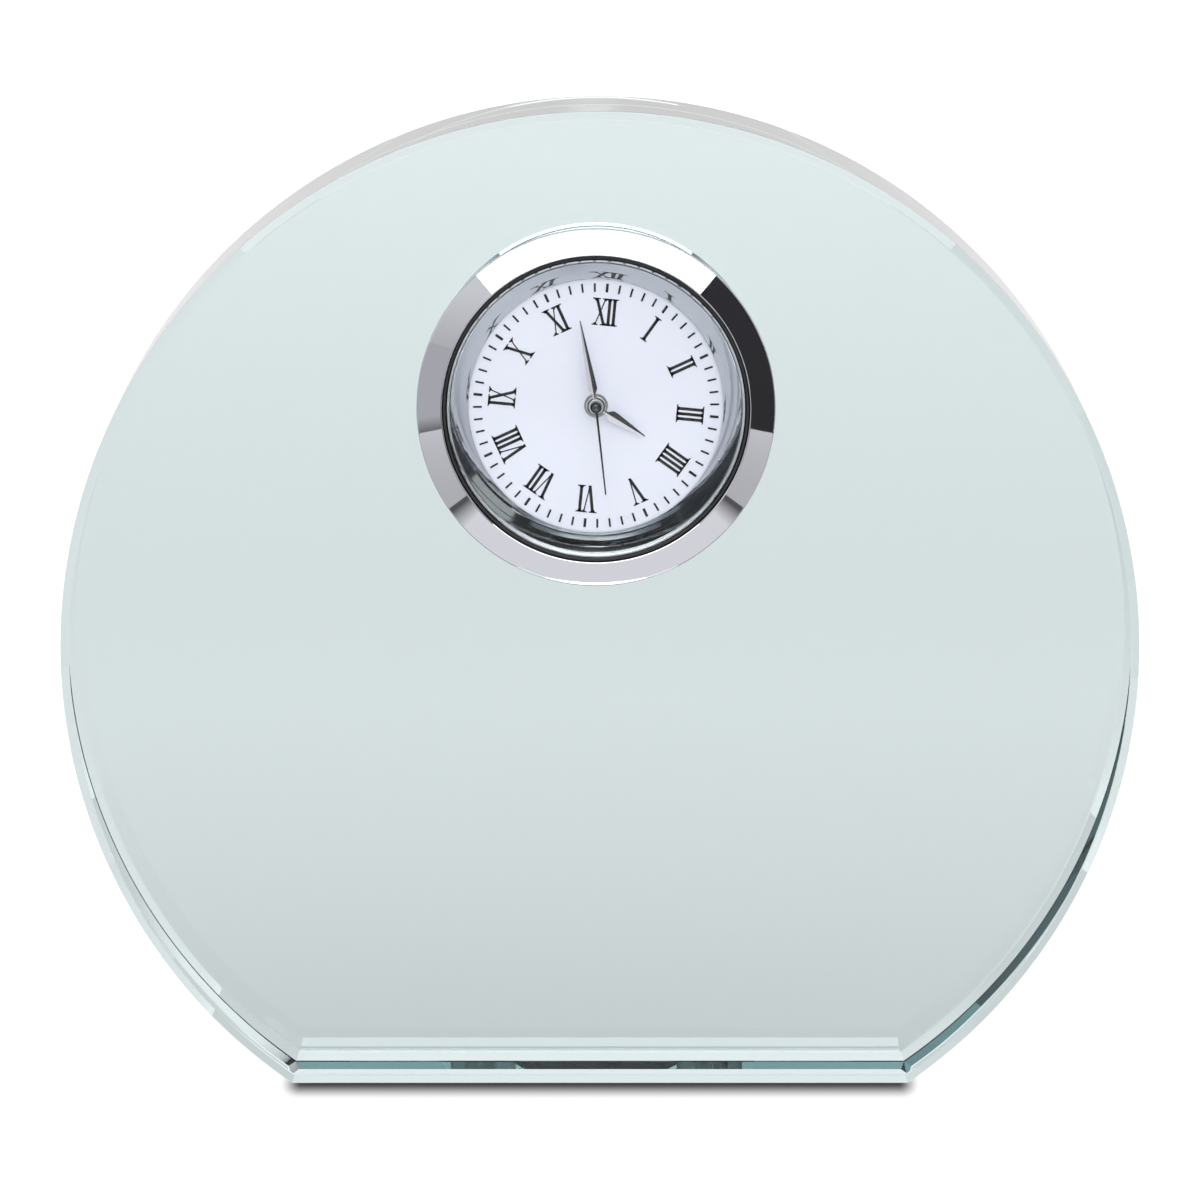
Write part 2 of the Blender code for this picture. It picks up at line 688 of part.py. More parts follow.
def make_plates():
    """Main plate with its pillars and stud, the train bridge, and the screws."""
    holes = [
        circle(centre_pipe_radius + RUN_GAP, PIPE_STEPS),
        circle(STEM_RADIUS + RUN_GAP, PIPE_STEPS, setting_place),
    ]
    for place in (third_place, intermediate_place, rotor_place):
        holes.append(circle(PIVOT_RADIUS + RUN_GAP, PIN_STEPS, place))
    for place in foot_places:
        holes.append(circle(FOOT_RADIUS + RUN_GAP, PIN_STEPS, place))
    rim = circle(plate_radius, WIDE_STEPS)
    plate = part(flat("main_plate", [rim, *holes], plate_back, plate_front), IVORY, 0.45)
    middle = (plate_front + plate_back) / 2
    pillars = pins("plate_pillars", pillar_places, PILLAR_RADIUS, bridge_front + SEAT_GAP, middle)
    stud_end = dial_back - SEAT_GAP - RUN_GAP
    stud = pins("minute_stud", [minute_place], STUD_RADIUS, middle, stud_end)
    work(plate, gathered("plate_posts", [pillars.data, stud.data]), "UNION")
    bore_front = bridge_front + SCREW_DEPTH + SEAT_GAP
    bores = pins("screw_bores", pillar_places, SCREW_RADIUS + RUN_GAP, bridge_front - TOOL_REACH, bore_front)
    work(plate, bores, "DIFFERENCE")

    corners = [pillar_places[0], pillar_places[1], rotor_place, pillar_places[2], setting_place]
    holes = [circle(STEM_RADIUS + RUN_GAP, PIPE_STEPS, setting_place)]
    for place in (CENTRE, third_place, intermediate_place, rotor_place):
        holes.append(circle(PIVOT_RADIUS + RUN_GAP, PIN_STEPS, place))
    for place in pillar_places:
        holes.append(circle(SCREW_RADIUS + RUN_GAP, PIN_STEPS, place))
    outline = rounded(corners, BRIDGE_MARGIN)
    part(flat("train_bridge", [outline, *holes], bridge_back, bridge_front), IVORY, 0.45)

    head_front = bridge_back - SEAT_GAP
    profile = [
        (SCREW_RADIUS, bridge_front + SCREW_DEPTH),
        (SCREW_RADIUS, head_front),
        (SCREW_HEAD_RADIUS, head_front),
        (SCREW_HEAD_RADIUS, screw_back),
    ]
    for number, place in enumerate(pillar_places, start=1):
        screw = solid_turned(f"movement_screw_{number}", profile, PIN_STEPS)
        part(screw, STEEL, 0.3, 1.0, at=place)
        half = SCREW_SLOT / 2
        slot_end = screw_back - TOOL_REACH
        reach = SCREW_HEAD_RADIUS + TOOL_REACH
        slot = [(-reach, -half), (reach, -half), (reach, half), (-reach, half)]
        slot_start = (head_front + screw_back) / 2
        work(screw, flat(f"screw_slot_{number}", [slot], slot_end, slot_start), "DIFFERENCE")


def rounded(corners, margin):
    """Outline at a margin round a run of corners, taken anticlockwise, with an arc at each."""
    outline = []
    count = len(corners)
    for i, (x, y) in enumerate(corners):
        before = corners[i - 1]
        after = corners[(i + 1) % count]
        start = math.atan2(y - before[1], x - before[0]) - math.pi / 2
        end = math.atan2(after[1] - y, after[0] - x) - math.pi / 2
        sweep = (end - start) % (2 * math.pi)
        steps = max(1, round(sweep / ROUNDING_STEP))
        outline += [beside((x, y), start + sweep * k / steps, margin) for k in range(steps + 1)]
    return outline


def make_train():
    """Wheels from the rotor to the tube that turns once an hour, in mesh at rest."""
    top = plate_back - SEAT_GAP
    bottom = bridge_front + SEAT_GAP
    overlap = (PINION_LENGTH - WHEEL_THICKNESS) / 2

    third_pinion_turn = 0.0
    seconds_pinion_turn = 0.0
    intermediate_turn = 0.0
    back_to_centre = THIRD_ANGLE + math.pi
    third_turn = meshing_turn(THIRD_ANGLE, SECONDS_PINION_TEETH, seconds_pinion_turn, THIRD_TEETH)
    centre_turn = meshing_turn(back_to_centre, THIRD_PINION_TEETH, third_pinion_turn, CENTRE_TEETH)
    intermediate_pinion_turn = meshing_turn(INTERMEDIATE_ANGLE, SECONDS_TEETH, 0.0, INTERMEDIATE_PINION_TEETH)
    rotor_turn = meshing_turn(ROTOR_ANGLE, INTERMEDIATE_TEETH, intermediate_turn, ROTOR_PINION_TEETH)

    wheel = wheel_outline(SECONDS_TEETH, seconds_module)
    pinion = pinion_outline(SECONDS_PINION_TEETH, third_module, seconds_pinion_turn)
    low = seconds_wheel_front - WHEEL_THICKNESS
    pinion_low = third_wheel_front - WHEEL_THICKNESS - overlap
    pinion_high = third_wheel_front + overlap
    shoulder = pinion_high + HUB_PROUD
    profile = [
        (SECONDS_ARBOR_RADIUS, second_boss + SECOND_BOSS_HEIGHT / 2),
        (SECONDS_ARBOR_RADIUS, shoulder),
        (ARBOR_RADIUS, shoulder),
        (ARBOR_RADIUS, bottom),
        (PIVOT_RADIUS, bottom),
        (PIVOT_RADIUS, bottom - PIVOT_LENGTH),
    ]
    seconds = part(solid_turned("seconds_wheel", profile, PIN_STEPS), BRASS, 0.3, 1.0)
    teeth = [
        flat_mesh("seconds_teeth", [wheel, *spoke_holes(wheel)], low, seconds_wheel_front),
        flat_mesh("seconds_pinion", [pinion], pinion_low, pinion_high),
    ]
    work(seconds, gathered("seconds_teeth", teeth), "UNION")

    wheel = wheel_outline(THIRD_TEETH, third_module, third_turn)
    pinion = pinion_outline(THIRD_PINION_TEETH, centre_module, third_pinion_turn)
    low = third_wheel_front - WHEEL_THICKNESS
    pinion_low = centre_wheel_front - WHEEL_THICKNESS - overlap
    third = part(arbor("third_wheel", ARBOR_RADIUS, top, bottom), IVORY, 0.5, at=third_place)
    teeth = [
        flat_mesh("third_teeth", [wheel, *spoke_holes(wheel)], low, third_wheel_front),
        flat_mesh("third_pinion", [pinion], pinion_low, pinion_low + PINION_LENGTH),
    ]
    work(third, gathered("third_teeth", teeth), "UNION")

    hub_radius = centre_pipe_radius + HUB_WALL
    hub_front = centre_wheel_front + HUB_PROUD
    hub_back = centre_wheel_front - WHEEL_THICKNESS - HUB_PROUD
    profile = [
        (centre_pipe_radius, hour_boss),
        (centre_pipe_radius, hub_front),
        (hub_radius, hub_front),
        (hub_radius, hub_back),
        (centre_pipe_bore, hub_back),
        (centre_pipe_bore, hour_boss),
    ]
    centre = part(turned("centre_wheel", profile, PIPE_STEPS), BRASS, 0.3, 1.0)
    wheel = wheel_outline(CENTRE_TEETH, centre_module, centre_turn)
    hole = circle(centre_pipe_radius + HUB_WALL / 2, PIPE_STEPS)
    loops = [wheel, hole, *spoke_holes(wheel)]
    low = centre_wheel_front - WHEEL_THICKNESS
    work(centre, flat("centre_teeth", loops, low, centre_wheel_front), "UNION")

    wheel = wheel_outline(INTERMEDIATE_TEETH, rotor_module, intermediate_turn)
    pinion = pinion_outline(INTERMEDIATE_PINION_TEETH, seconds_module, intermediate_pinion_turn)
    low = third_wheel_front - WHEEL_THICKNESS
    pinion_low = seconds_wheel_front - WHEEL_THICKNESS - overlap
    intermediate = part(
        arbor("intermediate_wheel", ARBOR_RADIUS, top, bottom), IVORY, 0.5, at=intermediate_place
    )
    teeth = [
        flat_mesh("intermediate_teeth", [wheel], low, third_wheel_front),
        flat_mesh("intermediate_pinion", [pinion], pinion_low, pinion_low + PINION_LENGTH),
    ]
    work(intermediate, gathered("intermediate_teeth", teeth), "UNION")

    rotor = part(arbor("rotor_pinion", ROTOR_ARBOR_RADIUS, top, bottom), IVORY, 0.5, at=rotor_place)
    magnet_middle = (stator_front + stator_back) / 2
    magnet_back = magnet_middle - MAGNET_THICKNESS / 2
    pinion = pinion_outline(ROTOR_PINION_TEETH, rotor_module, rotor_turn)
    pinion_high = min(magnet_back - SEAT_GAP, third_wheel_front + overlap)
    pinion_low = third_wheel_front - WHEEL_THICKNESS - overlap
    work(rotor, flat("rotor_teeth", [pinion], pinion_low, pinion_high), "UNION")
    magnet = tube(
        "rotor_magnet", ROTOR_ARBOR_RADIUS + PRESS_GAP, MAGNET_RADIUS,
        magnet_back, magnet_back + MAGNET_THICKNESS, PIPE_STEPS,
    )
    part(magnet, (0.12, 0.12, 0.12), 0.5, at=rotor_place)


def make_motion_work():
    """Cannon pinion, minute wheel, hour wheel and the setting stem with its knob, in mesh at rest."""
    pinion_back = minute_wheel_front - WHEEL_THICKNESS
    pinion_front = minute_wheel_front + SEAT_GAP
    minute_turn = meshing_turn(MINUTE_ANGLE, CANNON_TEETH, 0.0, MINUTE_TEETH)
    hour_turn = meshing_turn(MINUTE_ANGLE + math.pi, MINUTE_PINION_TEETH, 0.0, HOUR_TEETH)
    setting_turn = meshing_turn(SETTING_ANGLE, MINUTE_TEETH, minute_turn, SETTING_TEETH)

    pipe_back = pinion_back - HUB_PROUD
    pipe_front = minute_boss + BOSS_HEIGHT - PIPE_SHORTFALL
    cannon = tube("cannon_pinion", cannon_pipe_bore, cannon_pipe_radius, pipe_back, pipe_front, PIPE_STEPS)
    part(cannon, BRASS, 0.3, 1.0)
    hole = circle(cannon_pipe_bore + PIPE_WALL / 2, PIPE_STEPS)
    loops = [pinion_outline(CANNON_TEETH, cannon_module), hole]
    work(cannon, flat("cannon_teeth", loops, pinion_back, pinion_front), "UNION")

    hour_back = hour_wheel_front - WHEEL_THICKNESS
    hub_bore = STUD_RADIUS + RUN_GAP
    hub_front = hour_wheel_front + SEAT_GAP
    hub = tube(
        "minute_wheel", hub_bore, hub_bore + PIPE_WALL, pipe_back, hub_front + HUB_PROUD, PIPE_STEPS
    )
    part(hub, IVORY, 0.5, at=minute_place)
    hole = circle(hub_bore + PIPE_WALL / 2, PIPE_STEPS)
    teeth = [
        flat_mesh("minute_teeth", [wheel_outline(MINUTE_TEETH, cannon_module, minute_turn), hole],
                  pinion_back, minute_wheel_front),
        flat_mesh("minute_pinion", [pinion_outline(MINUTE_PINION_TEETH, hour_module), hole],
                  hour_back - HUB_PROUD, hub_front),
    ]
    work(hub, gathered("minute_teeth", teeth), "UNION")

    pipe_back = hour_back - HUB_PROUD
    pipe_front = hour_boss + BOSS_HEIGHT - PIPE_SHORTFALL
    hour = tube("hour_wheel", hour_pipe_bore, hour_pipe_radius, pipe_back, pipe_front, PIPE_STEPS)
    part(hour, IVORY, 0.5)
    hole = circle(hour_pipe_bore + HOUR_PIPE_WALL / 2, PIPE_STEPS)
    loops = [wheel_outline(HOUR_TEETH, hour_module, hour_turn), hole]
    work(hour, flat("hour_teeth", loops, hour_back, hour_wheel_front), "UNION")

    knob_front = cover_front + KNOB_INSET
    knob_back = cover_back - KNOB_PROUD
    stem_back = (knob_front + knob_back) / 2
    profile = [(STEM_RADIUS, pinion_front + HUB_PROUD), (STEM_RADIUS, stem_back)]
    stem = part(solid_turned("setting_stem", profile, PIPE_STEPS), IVORY, 0.5, at=setting_place)
    pinion = pinion_outline(SETTING_TEETH, cannon_module, setting_turn)
    work(stem, flat("setting_teeth", [pinion], pinion_back, pinion_front), "UNION")

    outline = ribbed(KNOB_FLUTES, KNOB_RADIUS - KNOB_FLUTE_DEPTH, KNOB_RADIUS)
    knob = part(flat("setting_knob", [outline], knob_back, knob_front), BLACK, 0.4, at=setting_place)
    socket = pins(
        "knob_socket", [CENTRE], STEM_RADIUS + PRESS_GAP,
        stem_back - SEAT_GAP, knob_front + TOOL_REACH, PIPE_STEPS,
    )
    work(knob, socket, "DIFFERENCE")


def along_coil(along, out):
    """A place given along the coil's axis and out from the hands' axis."""
    return beside(polar(COIL_ANGLE, out), COIL_ANGLE + math.pi / 2, along)


def lay_down(obj, direction, height):
    """Turns a piece so that its own z axis lies flat, in a direction across the movement."""
    obj.rotation_euler = (math.radians(90), 0.0, direction + math.pi / 2)
    obj.location.z = height


def make_motor():
    """Stator, core and coil of the stepping motor."""
    coil_direction = COIL_ANGLE + math.pi / 2
    coil_place = along_coil(0.0, coil_distance)
    core_end = COIL_LENGTH / 2 + CORE_OVERHANG

    rotor_angle = math.atan2(rotor_place[1], rotor_place[0]) - COIL_ANGLE
    rotor_distance = math.hypot(*rotor_place)
    rotor_along = rotor_distance * math.sin(rotor_angle)
    rotor_out = rotor_distance * math.cos(rotor_angle)
    hole = MAGNET_RADIUS + STATOR_GAP
    pad = hole + STATOR_RIM
    leg_end = COIL_LENGTH / 2 + SEAT_GAP
    far_out = coil_distance + CORE_WIDTH / 2
    yoke_out = coil_distance - FLANGE_RADIUS - SEAT_GAP
    yoke_in = yoke_out - YOKE_WIDTH
    slot_end = rotor_out + pad - SEAT_GAP
    arc = [math.pi + math.pi * k / POLE_STEPS for k in range(POLE_STEPS + 1)]
    outline = [(rotor_along - pad, far_out)]
    outline += [(rotor_along + pad * math.cos(a), rotor_out + pad * math.sin(a)) for a in arc]
    outline += [
        (rotor_along + pad, yoke_in),
        (core_end, yoke_in),
        (core_end, far_out),
        (leg_end, far_out),
        (leg_end, yoke_out),
        (POLE_SLOT - leg_end, yoke_out),
        (POLE_SLOT - leg_end, slot_end),
        (-leg_end, slot_end),
        (-leg_end, far_out),
    ]
    loops = [[along_coil(*point) for point in outline], circle(hole, PIPE_STEPS, rotor_place)]
    part(flat("stator", loops, stator_back, stator_front), IRON, 0.35, 1.0)

    half = CORE_WIDTH / 2
    corners = [(-core_end, -half), (core_end, -half), (core_end, half), (-core_end, half)]
    bar = [along_coil(x, coil_distance + y) for x, y in corners]
    core_back = coil_height - CORE_THICKNESS / 2
    part(flat("coil_core", [bar], core_back, core_back + CORE_THICKNESS), IRON, 0.35, 1.0)

    end = COIL_LENGTH / 2
    cheek = end - FLANGE_THICKNESS
    spool = BOBBIN_BORE + BOBBIN_WALL
    profile = [
        (FLANGE_RADIUS, end),
        (FLANGE_RADIUS, cheek),
        (spool, cheek),
        (spool, -cheek),
        (FLANGE_RADIUS, -cheek),
        (FLANGE_RADIUS, -end),
        (BOBBIN_BORE, -end),
        (BOBBIN_BORE, end),
    ]
    bobbin = part(turned("coil_bobbin", profile, PIPE_STEPS), (0.1, 0.1, 0.1), 0.5, at=coil_place)
    lay_down(bobbin, coil_direction, coil_height)
    wire_end = cheek - SEAT_GAP
    winding = tube("coil_winding", spool + PRESS_GAP, WINDING_RADIUS, -wire_end, wire_end, PIPE_STEPS)
    winding = part(winding, (0.6, 0.24, 0.1), 0.3, 1.0, at=coil_place)
    lay_down(winding, coil_direction, coil_height)


def make_board():
    """Circuit board with its quartz can and chip cap."""
    sweep = BOARD_LAST_ANGLE - BOARD_FIRST_ANGLE
    angles = [BOARD_FIRST_ANGLE + sweep * k / BOARD_STEPS for k in range(BOARD_STEPS + 1)]
    outline = [polar(a, board_outer) for a in angles] + [polar(a, board_inner) for a in reversed(angles)]
    part(flat("circuit_board", [outline], board_back, board_front), (0.05, 0.25, 0.12), 0.4)

    half = QUARTZ_LENGTH / 2
    profile = [(QUARTZ_RADIUS, half), (QUARTZ_RADIUS, -half)]
    place = polar(QUARTZ_ANGLE, board_outer - QUARTZ_INSET)
    quartz = part(solid_turned("quartz_can", profile, PIN_STEPS), STEEL, 0.25, 1.0, at=place)
    lay_down(quartz, QUARTZ_ANGLE + math.pi / 2, board_front + SEAT_GAP + QUARTZ_RADIUS)

    chip_front = board_back - SEAT_GAP
    lifts = [math.radians(90) * k / CHIP_RINGS for k in range(CHIP_RINGS)]
    profile = [(CHIP_RADIUS * math.cos(a), chip_front - CHIP_HEIGHT * math.sin(a)) for a in lifts]
    profile.append((0.0, chip_front - CHIP_HEIGHT))
    chip = turned("chip_cap", [(0.0, chip_front), *profile], PIPE_STEPS, closed=False)
    part(chip, BLACK, 0.3, at=polar(CHIP_ANGLE, (board_inner + board_outer) / 2))


def bent_strip(name, start, end, strip_height, tab_height):
    """A strip between two places, bent up or down at its far end. Both heights are of its outer bends."""
    reach = math.dist(start, end)
    sign = math.copysign(1.0, tab_height - strip_height)
    thick = sign * CONTACT_THICKNESS
    drop = tab_height - strip_height
    inner = reach - CONTACT_THICKNESS
    profile = [(0.0, 0.0), (reach, 0.0), (reach, drop), (inner, drop), (inner, thick), (0.0, thick)]
    strip = flat(name, [profile], -CONTACT_WIDTH / 2, CONTACT_WIDTH / 2)
    strip = part(strip, (0.7, 0.6, 0.4), 0.3, 1.0, at=start)
    direction = math.atan2(end[1] - start[1], end[0] - start[0])
    strip.rotation_euler = (math.radians(90), 0.0, direction)
    strip.location.z = strip_height


def make_battery():
    """Button cell and its two contacts."""
    cap = BATTERY_RADIUS - BATTERY_CAP_STEP
    profile = [
        (cap, battery_front),
        (cap, battery_front - BATTERY_CAP_STEP),
        (BATTERY_RADIUS, battery_front - BATTERY_CAP_STEP),
        (BATTERY_RADIUS, battery_back + SEAT_GAP),
        (BATTERY_RADIUS - SEAT_GAP, battery_back),
    ]
    part(solid_turned("battery", profile, MIDDLE_STEPS), STEEL, 0.25, 1.0, at=battery_place)
    tab_height = board_front + SEAT_GAP
    end = polar(NEGATIVE_ANGLE, plate_radius - CONTACT_INSET)
    bent_strip("negative_contact", battery_place, end, plate_back - SEAT_GAP, tab_height)
    start = polar(POSITIVE_ANGLE, plate_radius - POSITIVE_INSET)
    share = 1 - (BATTERY_RADIUS + SEAT_GAP) / math.dist(start, battery_place)
    end = [a + (b - a) * share for a, b in zip(start, battery_place)]
    bent_strip("positive_contact", start, end, tab_height, (battery_front + battery_back) / 2)


def make_hand(name, angle, boss, boss_back, sections, slope):
    """A hand: a boss and an arm lofted through distances and half widths, with a ridge along its middle."""
    base = boss_back + HAND_SEAT
    edge = base + HAND_EDGE
    bm = bmesh.new()
    rings = []
    for distance, half in sections:
        corners = [(-half, base), (-half, edge), (0.0, edge + slope * half), (half, edge), (half, base)]
        rings.append([bm.verts.new((x, distance, z)) for x, z in corners])
    for ring, following in zip(rings, rings[1:]):
        for i in range(len(ring)):
            bm.faces.new((ring[i - 1], ring[i], following[i], following[i - 1]))
    bm.faces.new(rings[0])
    bm.faces.new(reversed(rings[-1]))
    bmesh.ops.recalc_face_normals(bm, faces=bm.faces)
    mesh = bpy.data.meshes.new(name)
    bm.to_mesh(mesh)
    bm.free()
    hand = part(boss, (0.5, 0.5, 0.52), 0.12, 1.0)
    hand.rotation_euler = (0.0, 0.0, -angle)
    work(hand, bpy.data.objects.new(name + "_arm", mesh), "UNION")


def make_hands():
    """Ridged hour and minute hands and a plain second hand, at the time they show at rest."""
    bore = hour_pipe_radius + PRESS_GAP
    boss = tube("hour_hand", bore, bore + HOUR_BOSS_WALL, hour_boss, hour_boss + BOSS_HEIGHT, PIPE_STEPS)
    sections = [
        (bore + HOUR_BOSS_WALL / 2, HAND_NECK_WIDTH / 2),
        (HAND_NECK_END, HAND_NECK_WIDTH / 2),
        (HAND_SHOULDER, HOUR_HAND_WIDTH / 2),
        (HOUR_HAND_LENGTH, HAND_TIP_WIDTH / 2),
    ]
    make_hand("hour_hand", HOUR_HAND_ANGLE, boss, hour_boss, sections, HAND_SLOPE)

    bore = cannon_pipe_radius + PRESS_GAP
    rim = bore + MINUTE_BOSS_WALL
    boss = tube("minute_hand", bore, rim, minute_boss, minute_boss + BOSS_HEIGHT, PIPE_STEPS)
    sections = [
        (bore + MINUTE_BOSS_WALL / 2, HAND_NECK_WIDTH / 2),
        (HAND_NECK_END, HAND_NECK_WIDTH / 2),
        (HAND_SHOULDER, MINUTE_HAND_WIDTH / 2),
        (MINUTE_HAND_LENGTH, HAND_TIP_WIDTH / 2),
    ]
    make_hand("minute_hand", MINUTE_HAND_ANGLE, boss, minute_boss, sections, HAND_SLOPE)

    socket = SECONDS_ARBOR_RADIUS + PRESS_GAP
    socket_front = second_boss + SECOND_BOSS_HEIGHT / 2 + PRESS_GAP
    profile = [
        (0.0, second_boss + SECOND_BOSS_HEIGHT),
        (SECOND_BOSS_RADIUS, second_boss + SECOND_BOSS_HEIGHT),
        (SECOND_BOSS_RADIUS, second_boss),
        (socket, second_boss),
        (socket, socket_front),
        (0.0, socket_front),
    ]
    boss = turned("second_hand", profile, PIPE_STEPS, closed=False)
    root = SECOND_BOSS_RADIUS - HAND_SEAT
    sections = [(root, SECOND_HAND_WIDTH / 2), (SECOND_HAND_LENGTH, SECOND_TIP_WIDTH / 2)]
    make_hand("second_hand", SECOND_HAND_ANGLE, boss, second_boss, sections, 0.0)


make_glass()
make_front()
make_dial()
make_case()
make_plates()
make_train()
make_motion_work()
make_motor()
make_board()
make_battery()
make_hands()
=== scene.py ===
"""Looks of the crystal desk clock: fine surfaces, finishes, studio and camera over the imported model.

Shapes are worked out in millimetres and become metres when their mesh is made. The insert has a frame of its own:
u to the right and v up the dial from the hands' axis, and h out of the front face of the glass. The studio and the
materials are in metres.
"""

import math

import bmesh
import bpy
import numpy as np
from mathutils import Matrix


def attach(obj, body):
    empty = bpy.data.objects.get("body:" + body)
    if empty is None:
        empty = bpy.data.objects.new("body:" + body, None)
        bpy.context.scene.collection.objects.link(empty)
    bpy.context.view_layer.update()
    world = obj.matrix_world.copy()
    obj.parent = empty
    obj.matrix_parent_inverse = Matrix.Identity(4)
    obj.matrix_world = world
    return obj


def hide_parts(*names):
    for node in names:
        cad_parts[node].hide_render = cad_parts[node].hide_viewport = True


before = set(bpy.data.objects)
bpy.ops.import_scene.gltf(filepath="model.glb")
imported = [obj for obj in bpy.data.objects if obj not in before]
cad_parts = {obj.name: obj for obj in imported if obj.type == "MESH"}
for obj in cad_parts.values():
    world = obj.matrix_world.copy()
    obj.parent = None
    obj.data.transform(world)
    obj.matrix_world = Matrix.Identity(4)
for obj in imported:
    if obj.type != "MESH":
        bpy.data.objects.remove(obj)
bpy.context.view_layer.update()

MM = 0.001

# Glass block. The chamfer is wider along the base, up to a height and over a blend, and shallower on the left
GLASS_RADIUS = 55.0
GLASS_CENTRE = 45.0
GLASS_HALF = 10.0
CHAMFER = 0.85
CHAMFER_DEPTH = 0.67
BASE_CHAMFER = 1.0
BASE_CHAMFER_TOP = 1.5
BASE_CHAMFER_BLEND = 6.0
LEFT_CHAMFER_DEPTH = 0.44
LEFT_CHAMFER_START = 26.0
LEFT_CHAMFER_BLEND = 16.0
ARRIS = 0.06
BORE_RADIUS = 17.21
BORE_FLARE = 0.3
GLASS_ARC_STEPS = 960
GLASS_BASE_STEPS = 120

# Insert
INSERT_PLACE = (-0.4, 70.0)
INSERT_TURN = math.radians(5.4)
BEZEL_RADIUS = 18.21
BEZEL_CREST = 2.65
BEZEL_BROW = 1.33
BEZEL_EDGE = 1.2
BEZEL_SEAT = 0.1
SKIRT_WALL = 1.2
SKIRT_END = -2.0
THROAT_RADIUS = 15.61
THROAT_CREST = 2.55
LENS_LEDGE = 1.0
GASKET_BACK = 1.1
GASKET_SHOULDER = 1.9
GASKET_TOP = 2.12
LENS_BACK = 1.15
LENS_TOP = 2.15
LENS_BEVEL = 0.12
MIRROR_SPAN = 2.0
MIRROR_RIM = 0.4
DIAL_RADIUS = 14.96
DIAL_TOP = -1.2
DIAL_HOLE = 1.2
DIAL_THICKNESS = 0.4
CASE_RADIUS = 16.26
CASE_WALL_BORE = 15.16
CUP_FRONT = -1.7
CUP_STEP = -2.1
CUP_FLOOR = -2.9
CUP_BACK = -8.8
CUP_HOLE = 12.06
COVER_INSET = 0.1
COVER_WINDOW = 2.6
COVER_EASING = 0.15
NOTCH_HALF = 1.5
NOTCH_DEPTH = 0.6
KNOB_PLACE = (2.685, -6.421)

# Ribs of the grip and flutes of the knob: count, depth and sharpness
GRIP_RIBS = (24, 0.3, 2.0)
KNOB_FLUTES = (16, 0.2, 1.6)

# Steps round a turned piece, and round the small ones of the hands
FINE_STEPS = 360
HUB_STEPS = 96

# Print on the dial. A serif's slope starts and ends at shares of the serif's height, and is a share of its width
TICK_INNER = 11.6
TICK_OUTER = 12.5
TICK_WIDTH = 0.2
HOUR_TICK_WIDTH = 0.27
NUMERAL_FEET = 8.2
NUMERAL_HEIGHT = 2.78
STEM = 0.31
HAIRLINE = 0.13
SERIF_HEIGHT = 0.12
SERIF_OVERHANG = 0.25
SERIF_SLOPE_START = 0.9
SERIF_SLOPE_END = 2.4
SERIF_SLOPE_WIDTH = 0.62
DIAGONAL_REACH = 0.46
DIAGONAL_OVERLAP = 0.1
V_FOOT = 0.04
STEM_PITCH = 0.52
INK = 0.02
INK_SINK = 0.01
NUMERALS = ["XII", "I", "II", "III", "IIII", "V", "VI", "VII", "VIII", "IX", "X", "XI"]

# Hands: turn clockwise from twelve, height of the back, radii and top of the boss, and the arms' sections
HOUR_TURN = math.radians(116.5)
MINUTE_TURN = math.radians(-15.9)
SECOND_TURN = math.radians(168.3)
HOUR_BACK = -0.7
HOUR_BOSS = (0.77, 0.99)
HOUR_BOSS_TOP = -0.36
SEAT_RADIUS = 0.89
SEAT_TOP = -0.3
MINUTE_BACK = -0.2
MINUTE_BOSS = (0.56, 0.76)
MINUTE_BOSS_TOP = 0.2
SECOND_BACK = 0.3
ARM_LIFT = 0.12
ARM_EDGE = 0.06
ARM_SLOPE = 0.3
ARM_TIP = 0.1
ARM_LEAST = 0.002
ARM_STEPS = 60
ARM_TIP_STEPS = 6
NECK = 0.13
HOUR_SHOULDER = 0.57
MINUTE_SHOULDER = 0.47


# Shapes ---------------------------------------------------------------------------------------------------------


def on_insert(u, v, h):
    """World place of a point of the insert: the dial plane is turned clockwise by INSERT_TURN about the hands'
    axis, and h is taken towards the viewer."""
    cosine, sine = math.cos(INSERT_TURN), math.sin(INSERT_TURN)
    x = INSERT_PLACE[0] + u * cosine + v * sine
    z = INSERT_PLACE[1] - u * sine + v * cosine
    return np.stack(np.broadcast_arrays(x, -GLASS_HALF - h, z), axis=-1)


def clockwise(turn, u, v):
    """The place (u, v) turned clockwise about the hands' axis."""
    return u * math.cos(turn) + v * math.sin(turn), v * math.cos(turn) - u * math.sin(turn)


def smooth_step(value, start, length):
    """Share s of the way from start along a length, eased as s^2 (3 - 2s), with 0 before it and 1 past it."""
    share = np.clip((value - start) / length, 0.0, 1.0)
    return share**2 * (3 - 2 * share)


def eased(corners, radius, steps=4):
    """Closed profile with each corner V off the axis replaced by the parabola (1-t)^2 A + 2t(1-t) V + t^2 B, where
    A and B lie a radius away from V along its two sides."""
    corners = np.array(corners, float)
    reach = np.where(corners[:, :1] == 0.0, 0.0, radius)
    ends = []
    for neighbour in (np.roll(corners, 1, axis=0), np.roll(corners, -1, axis=0)):
        side = neighbour - corners
        length = np.linalg.norm(side, axis=1, keepdims=True)
        ends.append((corners + side * np.minimum(reach / length, 0.45))[:, None])
    t = np.linspace(0.0, 1.0, steps + 1)[None, :, None]
    curve = (1 - t) ** 2 * ends[0] + 2 * t * (1 - t) * corners[:, None] + t**2 * ends[1]
    return curve.reshape(-1, 2)


def turned(profile, steps=FINE_STEPS):
    """Grid of a closed profile (r, h) turned about the hands' axis: u = r cos a, v = r sin a."""
    return turned_with_ribs(profile, [0.0] * len(profile), np.zeros(steps))


